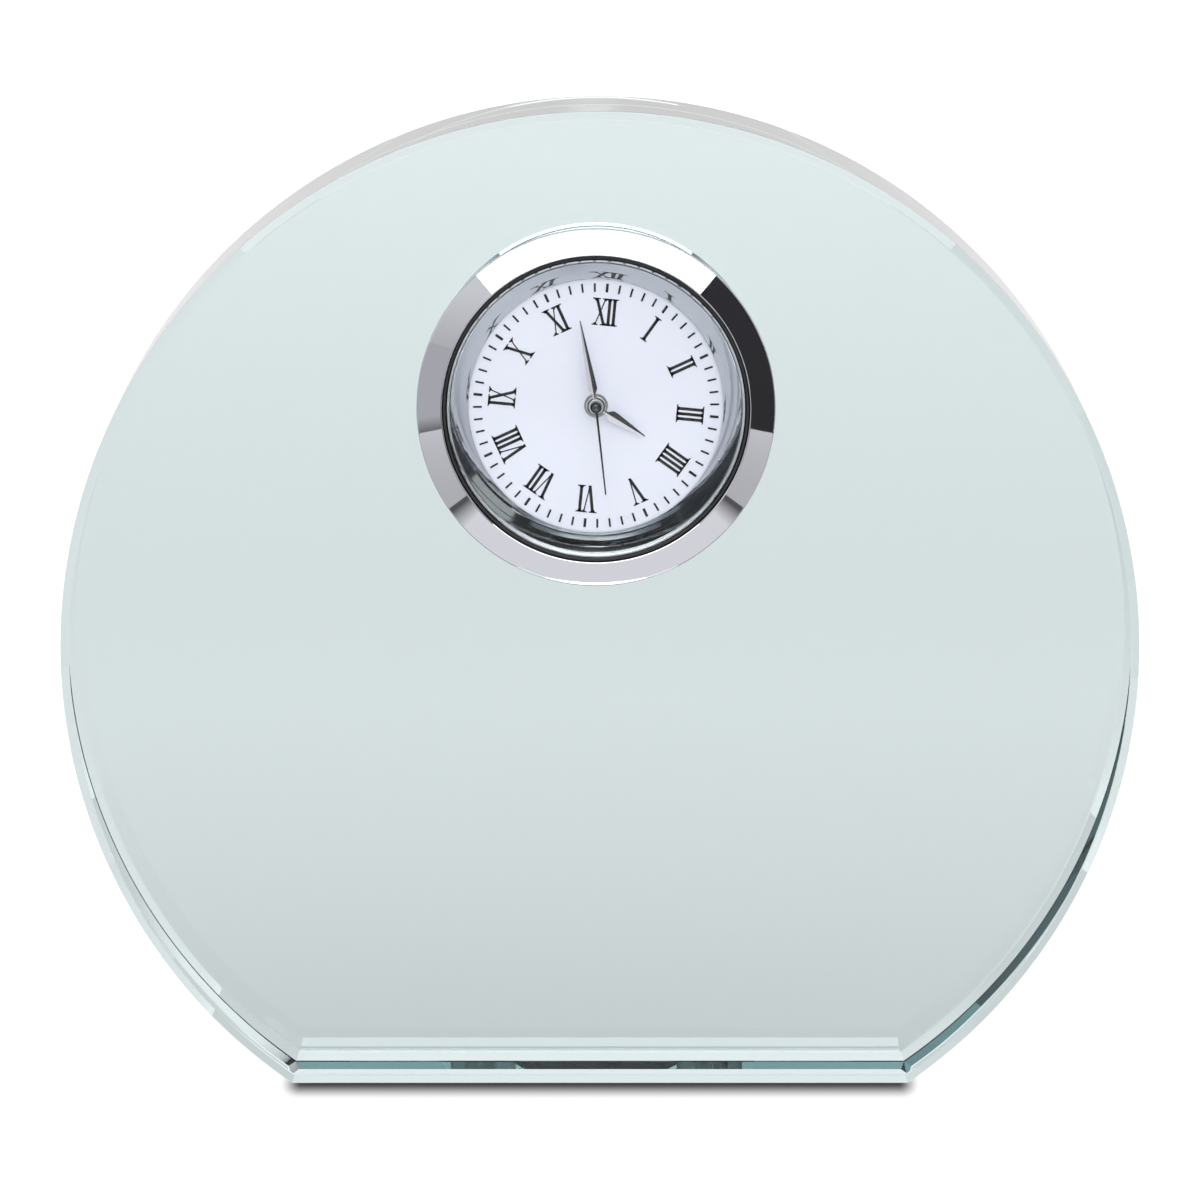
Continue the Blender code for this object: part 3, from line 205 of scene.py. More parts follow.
def ribbed(count, depth, sharpness, steps=FINE_STEPS):
    """How far the side of a ribbed piece lies below its crests, over the angle: depth times the share
    (0.5 - 0.5 cos(count a)) raised to a sharpness."""
    angle = np.linspace(0.0, 2 * math.pi, steps, endpoint=False)
    return depth * (0.5 - 0.5 * np.cos(count * angle)) ** sharpness


def turned_with_ribs(profile, follows, fall, place=(0.0, 0.0)):
    """Grid of a closed profile (r, h) turned about an axis: u = r cos a, v = r sin a. Each point loses the fall of
    the ribs at its angle from its radius, by its share in follows."""
    angle = np.linspace(0.0, 2 * math.pi, len(fall), endpoint=False)[:, None]
    radius, height = np.array(profile, float).T
    radius = radius - fall[:, None] * np.array(follows, float)
    return on_insert(place[0] + radius * np.cos(angle), place[1] + radius * np.sin(angle), height + 0 * angle)


def chamfer_growth(height):
    """How many times wider and deeper the chamfer is at a height than round the arc: BASE_CHAMFER / CHAMFER up to
    BASE_CHAMFER_TOP, and from there down to 1 by a smooth step."""
    return 1 + (BASE_CHAMFER / CHAMFER - 1) * (1 - smooth_step(height, BASE_CHAMFER_TOP, BASE_CHAMFER_BLEND))


def glass_outline(inset):
    """The block's outline moved inwards: an arc of radius GLASS_RADIUS less the inset from corner to corner,
    anticlockwise from the right, and the straight base at the height of the inset. The inset grows near the base."""
    base_inset = inset * BASE_CHAMFER / CHAMFER
    corner = math.asin((GLASS_CENTRE - base_inset) / (GLASS_RADIUS - base_inset))
    angle = np.linspace(-corner, math.pi + corner, GLASS_ARC_STEPS)
    radius = GLASS_RADIUS - inset * chamfer_growth(GLASS_CENTRE + GLASS_RADIUS * np.sin(angle))
    along = np.linspace(-1.0, 1.0, GLASS_BASE_STEPS + 1)[1:-1]
    x = np.concatenate([radius * np.cos(angle), (GLASS_RADIUS - base_inset) * math.cos(corner) * along])
    z = np.concatenate([GLASS_CENTRE + radius * np.sin(angle), np.full_like(along, base_inset)])
    return x, z


def glass_block():
    """Grid of the block: the section (inset, y) runs over the front chamfer, the side, the back chamfer and back
    through the bore, and each of its points is carried round the outline. Points of the bore lie on a circle, in the
    direction of their outline point from the bore's axis."""
    a, width, edge = ARRIS, CHAMFER, GLASS_HALF
    across, height = glass_outline(0.0)
    leftness = smooth_step(-across, LEFT_CHAMFER_START, LEFT_CHAMFER_BLEND)
    depth = (CHAMFER_DEPTH + (LEFT_CHAMFER_DEPTH - CHAMFER_DEPTH) * leftness) * chamfer_growth(height)
    half = [
        (width + a, edge + 0 * depth), (width - a, edge - a * depth),
        (a * width, edge - depth + a), (0.0, edge - depth - a),
    ]
    section = [(inset, -y) for inset, y in half] + half[::-1]
    rows = []
    for inset, y in section:
        x, z = glass_outline(inset)
        rows.append(np.stack([x, y, z], axis=-1))
    direction = np.arctan2(height - INSERT_PLACE[1], across - INSERT_PLACE[0])
    flare, straight = BORE_RADIUS + BORE_FLARE, edge - BORE_FLARE
    for radius, y in [(flare, edge), (BORE_RADIUS, straight), (BORE_RADIUS, -straight), (flare, -edge)]:
        x = INSERT_PLACE[0] + radius * np.cos(direction)
        z = INSERT_PLACE[1] + radius * np.sin(direction)
        rows.append(np.stack([x, np.full_like(x, y), z], axis=-1))
    return np.stack(rows)


def holed_plate(notch_depth, hole, hole_radius, levels):
    """Grid of a round plate with a hole off its middle, at (p, q). A ray from the hole's middle meets the rim of
    radius r at the reach sqrt(c^2 - p^2 - q^2 + r^2) - c, where c = p cos a + q sin a. The levels list (height,
    easing inwards, share of the notches) from the front round the rim to the back."""
    ray = np.linspace(0.0, 2 * math.pi, 2 * FINE_STEPS, endpoint=False)
    rows = []
    for height, inward, notched in levels:
        radius = CASE_RADIUS - COVER_INSET - inward
        across = hole[0] * np.cos(ray) + hole[1] * np.sin(ray)
        reach = -across + np.sqrt(across**2 - hole[0] ** 2 - hole[1] ** 2 + radius**2)
        u, v = hole[0] + reach * np.cos(ray), hole[1] + reach * np.sin(ray)
        shrink = 1 - notch_depth(u, v) * notched / radius
        rows.append(on_insert(u * shrink, v * shrink, height))
    front, back = levels[0][0], levels[-1][0]
    for height, widen in [(back, COVER_EASING), (back + COVER_EASING, 0.0), (front, 0.0)]:
        u = hole[0] + (hole_radius + widen) * np.cos(ray)
        v = hole[1] + (hole_radius + widen) * np.sin(ray)
        rows.append(on_insert(u, v, height))
    return np.stack(rows)


def blade(turn, boss_back, stations, slope, tip_round):
    """Grid of a hand's arm: five-sided sections (flat back, two edges and a ridge) along the stations (distance, half
    width), with the last width rounded off over tip_round. Each side of the ridge is one plane from boss to tip: its
    height is slope times (taper - across), where the taper is the last straight run of half widths, extended."""
    stations = np.array(stations, float)
    round_start = stations[-1, 0] - tip_round
    distance = np.concatenate([
        np.linspace(stations[0, 0], round_start, ARM_STEPS),
        stations[-1, 0] - tip_round * (1 - np.sin(np.linspace(0.1, 0.5, ARM_TIP_STEPS) * math.pi)),
    ])
    half = np.interp(distance, stations[:, 0], stations[:, 1])
    past = np.clip((distance - stations[-1, 0] + tip_round) / tip_round, 0.0, 1.0)
    half = half * np.sqrt(1 - past**2) + ARM_LEAST
    (near, broad), (far, narrow) = stations[-2:]
    taper = narrow + (broad - narrow) * (far - distance) / (far - near)
    base = boss_back + ARM_LIFT
    flat = np.full_like(half, base)
    edge = base + ARM_EDGE + slope * (taper - half)
    across = np.stack([-half, -half, 0 * half, half, half], axis=-1)
    height = np.stack([flat, edge, base + ARM_EDGE + slope * taper, edge, flat], axis=-1)
    u, v = clockwise(turn, across, distance[:, None])
    return on_insert(u, v, height)


def prisms(corners, back, front):
    """Vertices and faces of one slab over each quadrilateral (n, 4, 2) of the dial plane, between two heights."""
    count = len(corners)
    plane = [on_insert(corners[..., 0], corners[..., 1], np.broadcast_to(h, (count, 1))) for h in (back, front)]
    points = np.concatenate(plane, axis=1).reshape(-1, 3)
    sides = np.array([[0, 1, 2, 3], [4, 5, 6, 7], [0, 1, 5, 4], [1, 2, 6, 5], [2, 3, 7, 6], [3, 0, 4, 7]])
    return points, (sides[None] + 8 * np.arange(count)[:, None, None]).reshape(-1, 4)


def stroke(x0, y0, x1, y1, width):
    """Quadrilateral of a pen stroke with level ends."""
    half = width / 2
    return [(x0 - half, y0), (x0 + half, y0), (x1 + half, y1), (x1 - half, y1)]


def serif(x, y, inwards, width):
    """Level serif of a stroke's end, and the small slope from it into the stem."""
    reach = width / 2 + SERIF_OVERHANG
    top = y + inwards * SERIF_HEIGHT
    foot = [(x - reach, y), (x + reach, y), (x + reach, top), (x - reach, top)]
    low = y + inwards * SERIF_HEIGHT * SERIF_SLOPE_START
    high = y + inwards * SERIF_HEIGHT * SERIF_SLOPE_END
    broad, narrow = reach * SERIF_SLOPE_WIDTH, width / 2
    slope = [(x - broad, low), (x + broad, low), (x + narrow, high), (x - narrow, high)]
    return [foot, slope]


def letter_strokes(letter, x):
    """Strokes of one Roman letter around x: thick stems, thick strokes falling to the right, hairlines rising."""
    top, reach = NUMERAL_HEIGHT, DIAGONAL_REACH
    if letter == "I":
        return [stroke(x, 0, x, top, STEM)] + serif(x, 0, 1, STEM) + serif(x, top, -1, STEM)
    if letter == "V":
        strokes = [stroke(x + V_FOOT, 0, x - reach, top, STEM), stroke(x + V_FOOT, 0, x + reach, top, HAIRLINE)]
        return strokes + serif(x - reach, top, -1, STEM) + serif(x + reach, top, -1, HAIRLINE)
    strokes = [stroke(x + reach, 0, x - reach, top, STEM), stroke(x - reach, 0, x + reach, top, HAIRLINE)]
    strokes += serif(x + reach, 0, 1, STEM) + serif(x - reach, top, -1, STEM)
    return strokes + serif(x - reach, 0, 1, HAIRLINE) + serif(x + reach, top, -1, HAIRLINE)


def numeral_strokes():
    """Quadrilaterals of the twelve numerals, each centred on its hour with its feet towards the hands."""
    placed = []
    for hour, word in enumerate(NUMERALS):
        x, places = 0.0, []
        for before, letter in zip(" " + word, word):
            if before != " ":
                x += STEM_PITCH
                x += (DIAGONAL_REACH - DIAGONAL_OVERLAP) * ((before != "I") + (letter != "I"))
            places.append(x)
        outer = [DIAGONAL_REACH * (letter != "I") for letter in (word[0], word[-1])]
        middle = (places[0] - outer[0] + places[-1] + outer[1]) / 2
        quads = np.array([quad for letter, x in zip(word, places) for quad in letter_strokes(letter, x - middle)])
        u, v = clockwise(math.radians(30 * hour), quads[..., 0], NUMERAL_FEET + quads[..., 1])
        placed.append(np.stack([u, v], axis=-1))
    return np.concatenate(placed)


def tick_strokes():
    """Quadrilaterals of the sixty minute marks, broader at each hour."""
    quads = []
    for minute in range(60):
        half = (TICK_WIDTH if minute % 5 else HOUR_TICK_WIDTH) / 2
        corners = np.array([(-half, TICK_INNER), (half, TICK_INNER), (half, TICK_OUTER), (-half, TICK_OUTER)])
        quads.append(np.stack(clockwise(math.radians(6 * minute), corners[:, 0], corners[:, 1]), axis=-1))
    return np.array(quads)


def woven(grid):
    """Vertices and quads of a grid of points that closes on itself both ways."""
    index = np.arange(grid.shape[0] * grid.shape[1]).reshape(grid.shape[:2])
    below, beside = np.roll(index, -1, axis=0), np.roll(index, -1, axis=1)
    quads = np.stack([index, below, np.roll(below, -1, axis=1), beside], axis=-1)
    return grid.reshape(-1, 3), quads.reshape(-1, 4)


def capped(grid):
    """Vertices and faces of a grid whose columns close and whose first and last rows are capped."""
    points, quads = woven(grid)
    columns = grid.shape[1]
    ends = [list(range(columns)), list(range(len(points) - columns, len(points)))]
    return points, list(quads[:-columns]) + ends


def piece(name, body, material, shells, stands_for=(), crease=24):
    """Joins the shells (vertices in millimetres, faces) to one named piece that rides on a body. Edges sharper than
    the crease, in degrees, stay sharp."""
    bm = bmesh.new()
    for points, faces in shells:
        mesh = bpy.data.meshes.new(name)
        mesh.from_pydata(points * MM, [], faces)
        bm.from_mesh(mesh)
        bpy.data.meshes.remove(mesh)
    bmesh.ops.remove_doubles(bm, verts=bm.verts, dist=1e-7)
    bmesh.ops.dissolve_degenerate(bm, edges=bm.edges, dist=1e-8)
    bmesh.ops.recalc_face_normals(bm, faces=bm.faces)
    mesh = bpy.data.meshes.new(name)
    bm.to_mesh(mesh)
    bm.free()
    mesh.shade_smooth()
    mesh.set_sharp_from_angle(angle=math.radians(crease))
    mesh.materials.append(material)
    obj = bpy.data.objects.new(name, mesh)
    bpy.context.scene.collection.objects.link(obj)
    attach(obj, body)
    if stands_for:
        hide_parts(*stands_for)
    return obj


# Node building --------------------------------------------------------------------------------------------------


def add(tree, kind, *sources, **settings):
    """A node with its settings, and its inputs in order: a socket is linked, a value is set, None is left."""
    made = tree.nodes.new(kind)
    for key, value in settings.items():
        setattr(made, key, value)
    for socket, source in zip(made.inputs, sources):
        if isinstance(source, bpy.types.NodeSocket):
            tree.links.new(source, socket)
        elif source is not None:
            socket.default_value = source
    return made


def maths(tree, operation, *sources):
    """Result of a Math node."""
    return add(tree, "ShaderNodeMath", *sources, operation=operation).outputs[0]


def ramp(tree, source, start, end, low, high, **settings):
    """A value that goes from low to high while the source goes from start to end, and stays there outside."""
    return add(tree, "ShaderNodeMapRange", source, start, end, low, high, **settings).outputs[0]


def chosen(tree, factor, otherwise, when):
    """Colour that goes from one value to another by a factor; either may be a socket."""
    mix = add(tree, "ShaderNodeMix", data_type="RGBA")
    tree.links.new(factor, mix.inputs["Factor"])
    for socket, value in ((mix.inputs[6], otherwise), (mix.inputs[7], when)):
        if isinstance(value, tuple):
            socket.default_value = (*value, 1.0)
        else:
            tree.links.new(value, socket)
    return mix.outputs[2]


def both(tree, *conditions):
    """All of several conditions at once, as their product."""
    result = conditions[0]
    for condition in conditions[1:]:
        result = maths(tree, "MULTIPLY", result, condition)
    return result


def between(tree, value, low, high):
    """1 where a value lies between two others, 0 elsewhere."""
    return both(tree, maths(tree, "GREATER_THAN", value, low), maths(tree, "LESS_THAN", value, high))


def place_parts(tree):
    """The three coordinates of the place on the piece."""
    place = tree.nodes.new("ShaderNodeTexCoord").outputs["Object"]
    return add(tree, "ShaderNodeSeparateXYZ", place).outputs


def from_axis(tree):
    """Distance of the place from the hands' axis, and its three coordinates counted from that axis."""
    place = tree.nodes.new("ShaderNodeTexCoord").outputs["Object"]
    axis = (INSERT_PLACE[0] * MM, 0.0, INSERT_PLACE[1] * MM)
    moved = add(tree, "ShaderNodeVectorMath", place, axis, operation="SUBTRACT")
    x, y, z = add(tree, "ShaderNodeSeparateXYZ", moved.outputs[0]).outputs
    squares = maths(tree, "ADD", maths(tree, "MULTIPLY", x, x), maths(tree, "MULTIPLY", z, z))
    return maths(tree, "SQRT", squares), x, y, z


def noise(tree, vector, scale, detail):
    """Value of a noise texture, about 0.5 in the middle of its range."""
    made = add(tree, "ShaderNodeTexNoise", vector, noise_dimensions="3D")
    made.inputs["Scale"].default_value = scale
    made.inputs["Detail"].default_value = detail
    return made.outputs[0]


def group(name, given_name, given_value, made_names):
    """An empty shader group with one number as input and numbers as outputs, and the nodes that stand for them."""
    tree = bpy.data.node_groups.new(name, "ShaderNodeTree")
    socket = tree.interface.new_socket(given_name, in_out="INPUT", socket_type="NodeSocketFloat")
    socket.default_value = given_value
    for label in made_names:
        tree.interface.new_socket(label, in_out="OUTPUT", socket_type="NodeSocketFloat")
    return tree, tree.nodes.new("NodeGroupInput"), tree.nodes.new("NodeGroupOutput")


def placed_group(tree, which, value):
    """A shader group placed in a material, with its input's value."""
    made = tree.nodes.new("ShaderNodeGroup")
    made.node_tree = which
    made.inputs[0].default_value = value
    return made


# Finishes -------------------------------------------------------------------------------------------------------

# Noise: waves to the size for the slow tone and the fine grain, waves round a piece, and the range it mostly fills
SLOW_SCALE = 0.21
FINE_SCALE = 2.3
ROUND_SCALE = 1.7
NOISE_LOW, NOISE_HIGH = 0.3, 0.7

# Faint marks of handling: the range of the slow tone over which they come up
MARK_START, MARK_FULL = 0.66, 0.8

# Ground wall of the bore: its roughness, and how far from its radius and inside the faces it reaches
BORE_ROUGHNESS = 0.04
BORE_GRIND_REACH = 0.32
BORE_GRIND_END = 0.001


def unevenness_group():
    """Slow tone and fine grain of a surface, each from 0 to 1, at a size given in millimetres."""
    tree, given, made = group("unevenness", "Size", 1.0, ["Tone", "Grain"])
    place = tree.nodes.new("ShaderNodeTexCoord").outputs["Object"]
    scale = maths(tree, "DIVIDE", 1 / MM, given.outputs["Size"])
    scaled = add(tree, "ShaderNodeVectorMath", place, operation="SCALE")
    tree.links.new(scale, scaled.inputs["Scale"])
    tree.links.new(noise(tree, scaled.outputs[0], SLOW_SCALE, 2.0), made.inputs["Tone"])
    tree.links.new(noise(tree, scaled.outputs[0], FINE_SCALE, 4.0), made.inputs["Grain"])
    return tree


def turning_group():
    """Marks left by turning: noise over the distance from the hands' axis and the depth, nearly constant along the
    way round, at a given number of lines to the millimetre."""
    tree, given, made = group("turning marks", "Lines", 6.0, ["Mark"])
    radius, x, y, z = from_axis(tree)
    lines = maths(tree, "MULTIPLY", given.outputs["Lines"], 1 / MM)
    across = maths(tree, "MULTIPLY", radius, lines)
    deep = maths(tree, "MULTIPLY", y, lines)
    round_way = maths(tree, "MULTIPLY", maths(tree, "ARCTAN2", x, z), ROUND_SCALE)
    vector = add(tree, "ShaderNodeCombineXYZ", across, deep, round_way).outputs[0]
    tree.links.new(noise(tree, vector, 1.0, 3.0), made.inputs["Mark"])
    return tree


UNEVENNESS = unevenness_group()
TURNING = turning_group()


def new_finish(name):
    """An empty material, with its Principled BSDF."""
    material = bpy.data.materials.new(name)
    material.use_nodes = True
    return material, material.node_tree, material.node_tree.nodes["Principled BSDF"]


def finish(name, light, dark, roughness, size, bump=0.0, lines=None, **plain):
    """A finish of two close colours mixed by the slow tone, with roughness between two values and a bump of the
    given depth in millimetres, both by the fine grain, or by turning marks where lines are given. The rest are
    plain values of the shader's own sockets."""
    material, tree, shader = new_finish(name)
    uneven = placed_group(tree, UNEVENNESS, size)
    tree.links.new(chosen(tree, uneven.outputs["Tone"], dark, light), shader.inputs["Base Color"])
    mark = uneven.outputs["Grain"]
    if lines is not None:
        mark = placed_group(tree, TURNING, lines).outputs["Mark"]
    tree.links.new(ramp(tree, mark, NOISE_LOW, NOISE_HIGH, *roughness), shader.inputs["Roughness"])
    if bump:
        raised = tree.nodes.new("ShaderNodeBump")
        raised.inputs["Strength"].default_value = 1.0
        raised.inputs["Distance"].default_value = bump * MM
        tree.links.new(mark, raised.inputs["Height"])
        tree.links.new(raised.outputs[0], shader.inputs["Normal"])
    for label, value in plain.items():
        shader.inputs[label.replace("_", " ")].default_value = value
    return material


def metal(name, light, dark, roughness, size, **settings):
    """A finish of bare metal."""
    return finish(name, light, dark, roughness, size, Metallic=1.0, **settings)


def clear_glass(name, ior, absorbed, roughness_mask):
    """Glass that is coloured only by its depth: absorbed is what a metre takes off red, green and blue. The density
    is a little over the strongest of them, so that no channel of the colour is black."""
    material, tree, shader = new_finish(name)
    shader.inputs["Base Color"].default_value = (1.0, 1.0, 1.0, 1.0)
    shader.inputs["Transmission Weight"].default_value = 1.0
    shader.inputs["IOR"].default_value = ior
    tree.links.new(roughness_mask(tree), shader.inputs["Roughness"])
    depth = tree.nodes.new("ShaderNodeVolumeAbsorption")
    strongest = 1.05 * max(absorbed)
    depth.inputs["Color"].default_value = (*(1 - a / strongest for a in absorbed), 1.0)
    depth.inputs["Density"].default_value = strongest
    tree.links.new(depth.outputs[0], tree.nodes["Material Output"].inputs["Volume"])
    return material


def handling_marks(tree, size, most):
    """Roughness of faint marks of handling, up to a most, where the slow tone is highest."""
    uneven = placed_group(tree, UNEVENNESS, size)
    return ramp(tree, uneven.outputs["Tone"], MARK_START, MARK_FULL, 0.0, most)


def block_roughness(tree):
    """Ground bore wall and polished faces with faint marks of handling: ground where the distance from the bore's
    axis is near its radius and the place is inside the faces."""
    radius, x, y, z = from_axis(tree)
    near = maths(tree, "COMPARE", radius, BORE_RADIUS * MM, BORE_GRIND_REACH * MM)
    inside = maths(tree, "LESS_THAN", maths(tree, "ABSOLUTE", y), (GLASS_HALF - BORE_GRIND_END) * MM)
    ground = maths(tree, "MULTIPLY", both(tree, near, inside), BORE_ROUGHNESS)
    return maths(tree, "MAXIMUM", ground, handling_marks(tree, 6.0, 0.03))


def lens_roughness(tree):
    """A polished face with faint marks of handling."""
    return handling_marks(tree, 2.0, 0.02)


CRYSTAL = clear_glass("crystal", 1.52, (24.8, 19.4, 18.9), block_roughness)
LENS_GLASS = clear_glass("lens glass", 1.5, (4.0, 2.5, 2.5), lens_roughness)
CHROME = metal("polished chrome", (0.60, 0.60, 0.65), (0.57, 0.57, 0.62), (0.01, 0.035), 1.5)
MIRROR = metal("turned mirror", (0.69, 0.72, 0.73), (0.65, 0.68, 0.69), (0.01, 0.04), 2.0, bump=0.0001, lines=4.0)
SATIN = metal("satin steel", (0.74, 0.79, 0.84), (0.68, 0.73, 0.78), (0.28, 0.4), 1.0, lines=8.0)
GASKET = finish("black gasket", (0.012, 0.012, 0.013), (0.006, 0.006, 0.006), (0.35, 0.5), 0.6, bump=0.004)
DIAL_WHITE = finish("white dial", (0.70, 0.725, 0.82), (0.68, 0.705, 0.80), (0.42, 0.55), 1.2, bump=0.0015)
INK_BLACK = finish("dial ink", (0.012, 0.012, 0.014), (0.006, 0.006, 0.007), (0.45, 0.6), 0.3, bump=0.003)
HAND_STEEL = metal("hand steel", (0.74, 0.74, 0.77), (0.7, 0.7, 0.73), (0.008, 0.03), 0.4)
NEEDLE_BLACK = finish("black needle", (0.014, 0.014, 0.016), (0.008, 0.008, 0.009), (0.25, 0.4), 0.3)
CASE_BLACK = finish("black case", (0.022, 0.022, 0.023), (0.014, 0.014, 0.015), (0.38, 0.55), 0.35, bump=0.008)
COVER_BLACK = finish("black cover", (0.026, 0.026, 0.027), (0.017, 0.017, 0.018), (0.42, 0.6), 0.25, bump=0.01)
GRIP_CLEAR = finish(
    "milky grip", (0.72, 0.74, 0.74), (0.62, 0.64, 0.64), (0.3, 0.45), 0.8, bump=0.006,
    Transmission_Weight=0.35, IOR=1.45,
)
IVORY = finish("ivory plastic", (0.74, 0.71, 0.62), (0.68, 0.65, 0.56), (0.38, 0.52), 0.5, bump=0.006)
SCREW_STEEL = metal("screw steel", (0.62, 0.62, 0.63), (0.5, 0.5, 0.51), (0.2, 0.38), 0.2, bump=0.002)
BOARD_GREEN = finish("green board", (0.03, 0.17, 0.07), (0.018, 0.11, 0.045), (0.25, 0.4), 0.3, bump=0.003)
RESIN_BLACK = finish("black resin", (0.02, 0.02, 0.02), (0.01, 0.01, 0.01), (0.12, 0.25), 0.6, bump=0.01)
CAN_STEEL = metal("can steel", (0.72, 0.72, 0.72), (0.62, 0.62, 0.63), (0.12, 0.25), 0.4)
NYLON_BLACK = finish("black nylon", (0.03, 0.03, 0.03), (0.02, 0.02, 0.02), (0.4, 0.55), 0.3, bump=0.004)
COPPER = metal("copper wire", (0.75, 0.3, 0.12), (0.55, 0.2, 0.08), (0.22, 0.4), 0.08, bump=0.012)
IRON = metal("motor iron", (0.42, 0.42, 0.43), (0.33, 0.33, 0.34), (0.25, 0.42), 0.25, bump=0.003)
MAGNET = finish("sintered magnet", (0.07, 0.07, 0.075), (0.045, 0.045, 0.05), (0.45, 0.6), 0.12, bump=0.008)
WHEEL_IVORY = finish("wheel plastic", (0.78, 0.76, 0.7), (0.72, 0.7, 0.63), (0.35, 0.5), 0.3, bump=0.003)
WHEEL_BRASS = metal("wheel brass", (0.8, 0.58, 0.24), (0.7, 0.49, 0.19), (0.18, 0.34), 0.3, bump=0.002)
CELL_STEEL = metal("cell steel", (0.68, 0.68, 0.69), (0.6, 0.6, 0.61), (0.16, 0.3), 0.6, bump=0.002)
BRONZE = metal("contact bronze", (0.72, 0.56, 0.33), (0.6, 0.46, 0.27), (0.2, 0.36), 0.3, bump=0.002)


# Pieces ---------------------------------------------------------------------------------------------------------


def make_glass():
    """The crystal block. It takes no light from the pieces and the floor around it, so that they stay pale."""
    block = piece("crystal_block", "glass", CRYSTAL, [woven(glass_block())], ["glass_body"], crease=12)
    block.visible_shadow = False
    block.visible_diffuse = False


def make_front():
    """Bezel with a sloping top, black gasket, flat lens with a bevelled edge, conical mirror ring and the satin lip
    round its upper edge. The cone is held straight by points close to its ends, so that its shading stays that of a
    true cone."""
    skirt_bore = CASE_RADIUS - SKIRT_WALL
    bezel = [
        (THROAT_RADIUS + 0.1, BEZEL_CREST), (BEZEL_RADIUS - 0.1, BEZEL_BROW), (BEZEL_RADIUS, BEZEL_EDGE),
        (BEZEL_RADIUS, BEZEL_SEAT), (CASE_RADIUS, BEZEL_SEAT), (CASE_RADIUS, SKIRT_END), (skirt_bore, SKIRT_END),
        (skirt_bore, LENS_LEDGE), (THROAT_RADIUS, LENS_LEDGE), (THROAT_RADIUS, THROAT_CREST),
    ]
    piece("bezel_ring", "insert", CHROME, [woven(turned(eased(bezel, 0.05)))], ["bezel"])

    inner, outer = DIAL_RADIUS + 0.18, THROAT_RADIUS - 0.1
    gasket = [
        (inner, GASKET_BACK), (inner, GASKET_SHOULDER), (inner + 0.12, GASKET_TOP), (outer, GASKET_TOP),
        (outer, GASKET_BACK),
    ]
    piece("gasket_ring", "insert", GASKET, [woven(turned(eased(gasket, 0.05)))], ["lens_gasket"])

    rim = DIAL_RADIUS + 0.16
    lens = [
        (0.0, LENS_TOP), (rim - LENS_BEVEL, LENS_TOP), (rim, LENS_TOP - LENS_BEVEL), (rim, LENS_BACK),
        (0.0, LENS_BACK),
    ]
    piece("lens_disc", "insert", LENS_GLASS, [woven(turned(lens))], ["lens"])

    slope_top, slope_foot = DIAL_RADIUS - 0.18, DIAL_RADIUS - MIRROR_SPAN
    foot, crest = np.array([slope_foot, DIAL_TOP + 0.25]), np.array([slope_top, LENS_BACK - 0.08])
    slope = [tuple(foot + share * (crest - foot)) for share in (0.0, 0.03, 0.97, 1.0)]
    mirror = [
        (DIAL_RADIUS, DIAL_TOP + 0.1), (slope_foot, DIAL_TOP + 0.1), *slope,
        (slope_top + 0.03, LENS_BACK - MIRROR_RIM), (DIAL_RADIUS, LENS_BACK - MIRROR_RIM),
    ]
    piece("mirror_ring", "insert", MIRROR, [woven(turned(eased(mirror, 0.02)))], ["reflector_ring"])

    lip_inner, lip_outer = slope_top + 0.08, DIAL_RADIUS + 0.12
    low, high = LENS_BACK - MIRROR_RIM, LENS_BACK - 0.05
    lip = [(lip_inner, low), (lip_inner, high), (lip_outer, high), (lip_outer, low)]
    piece("mirror_lip", "insert", SATIN, [woven(turned(eased(lip, 0.03)))], ["reflector_ring"])


def make_dial():
    """White dial plate and its two layers of print."""
    under = DIAL_TOP - DIAL_THICKNESS
    plate = [(DIAL_HOLE, DIAL_TOP), (DIAL_RADIUS, DIAL_TOP), (DIAL_RADIUS, under), (DIAL_HOLE, under)]
    piece("dial_plate", "insert", DIAL_WHITE, [woven(turned(eased(plate, 0.03)))], ["dial"])
    for name, strokes in (("minute_marks", tick_strokes()), ("hour_numerals", numeral_strokes())):
        print_layer = prisms(strokes, DIAL_TOP - INK_SINK, DIAL_TOP + INK)
        piece(name, "insert", INK_BLACK, [print_layer])


def ring(inner, outer, low, high, easing):
    """Grid of a plain ring between two radii and two heights, with eased corners."""
    return woven(turned(eased([(inner, low), (outer, low), (outer, high), (inner, high)], easing), HUB_STEPS))


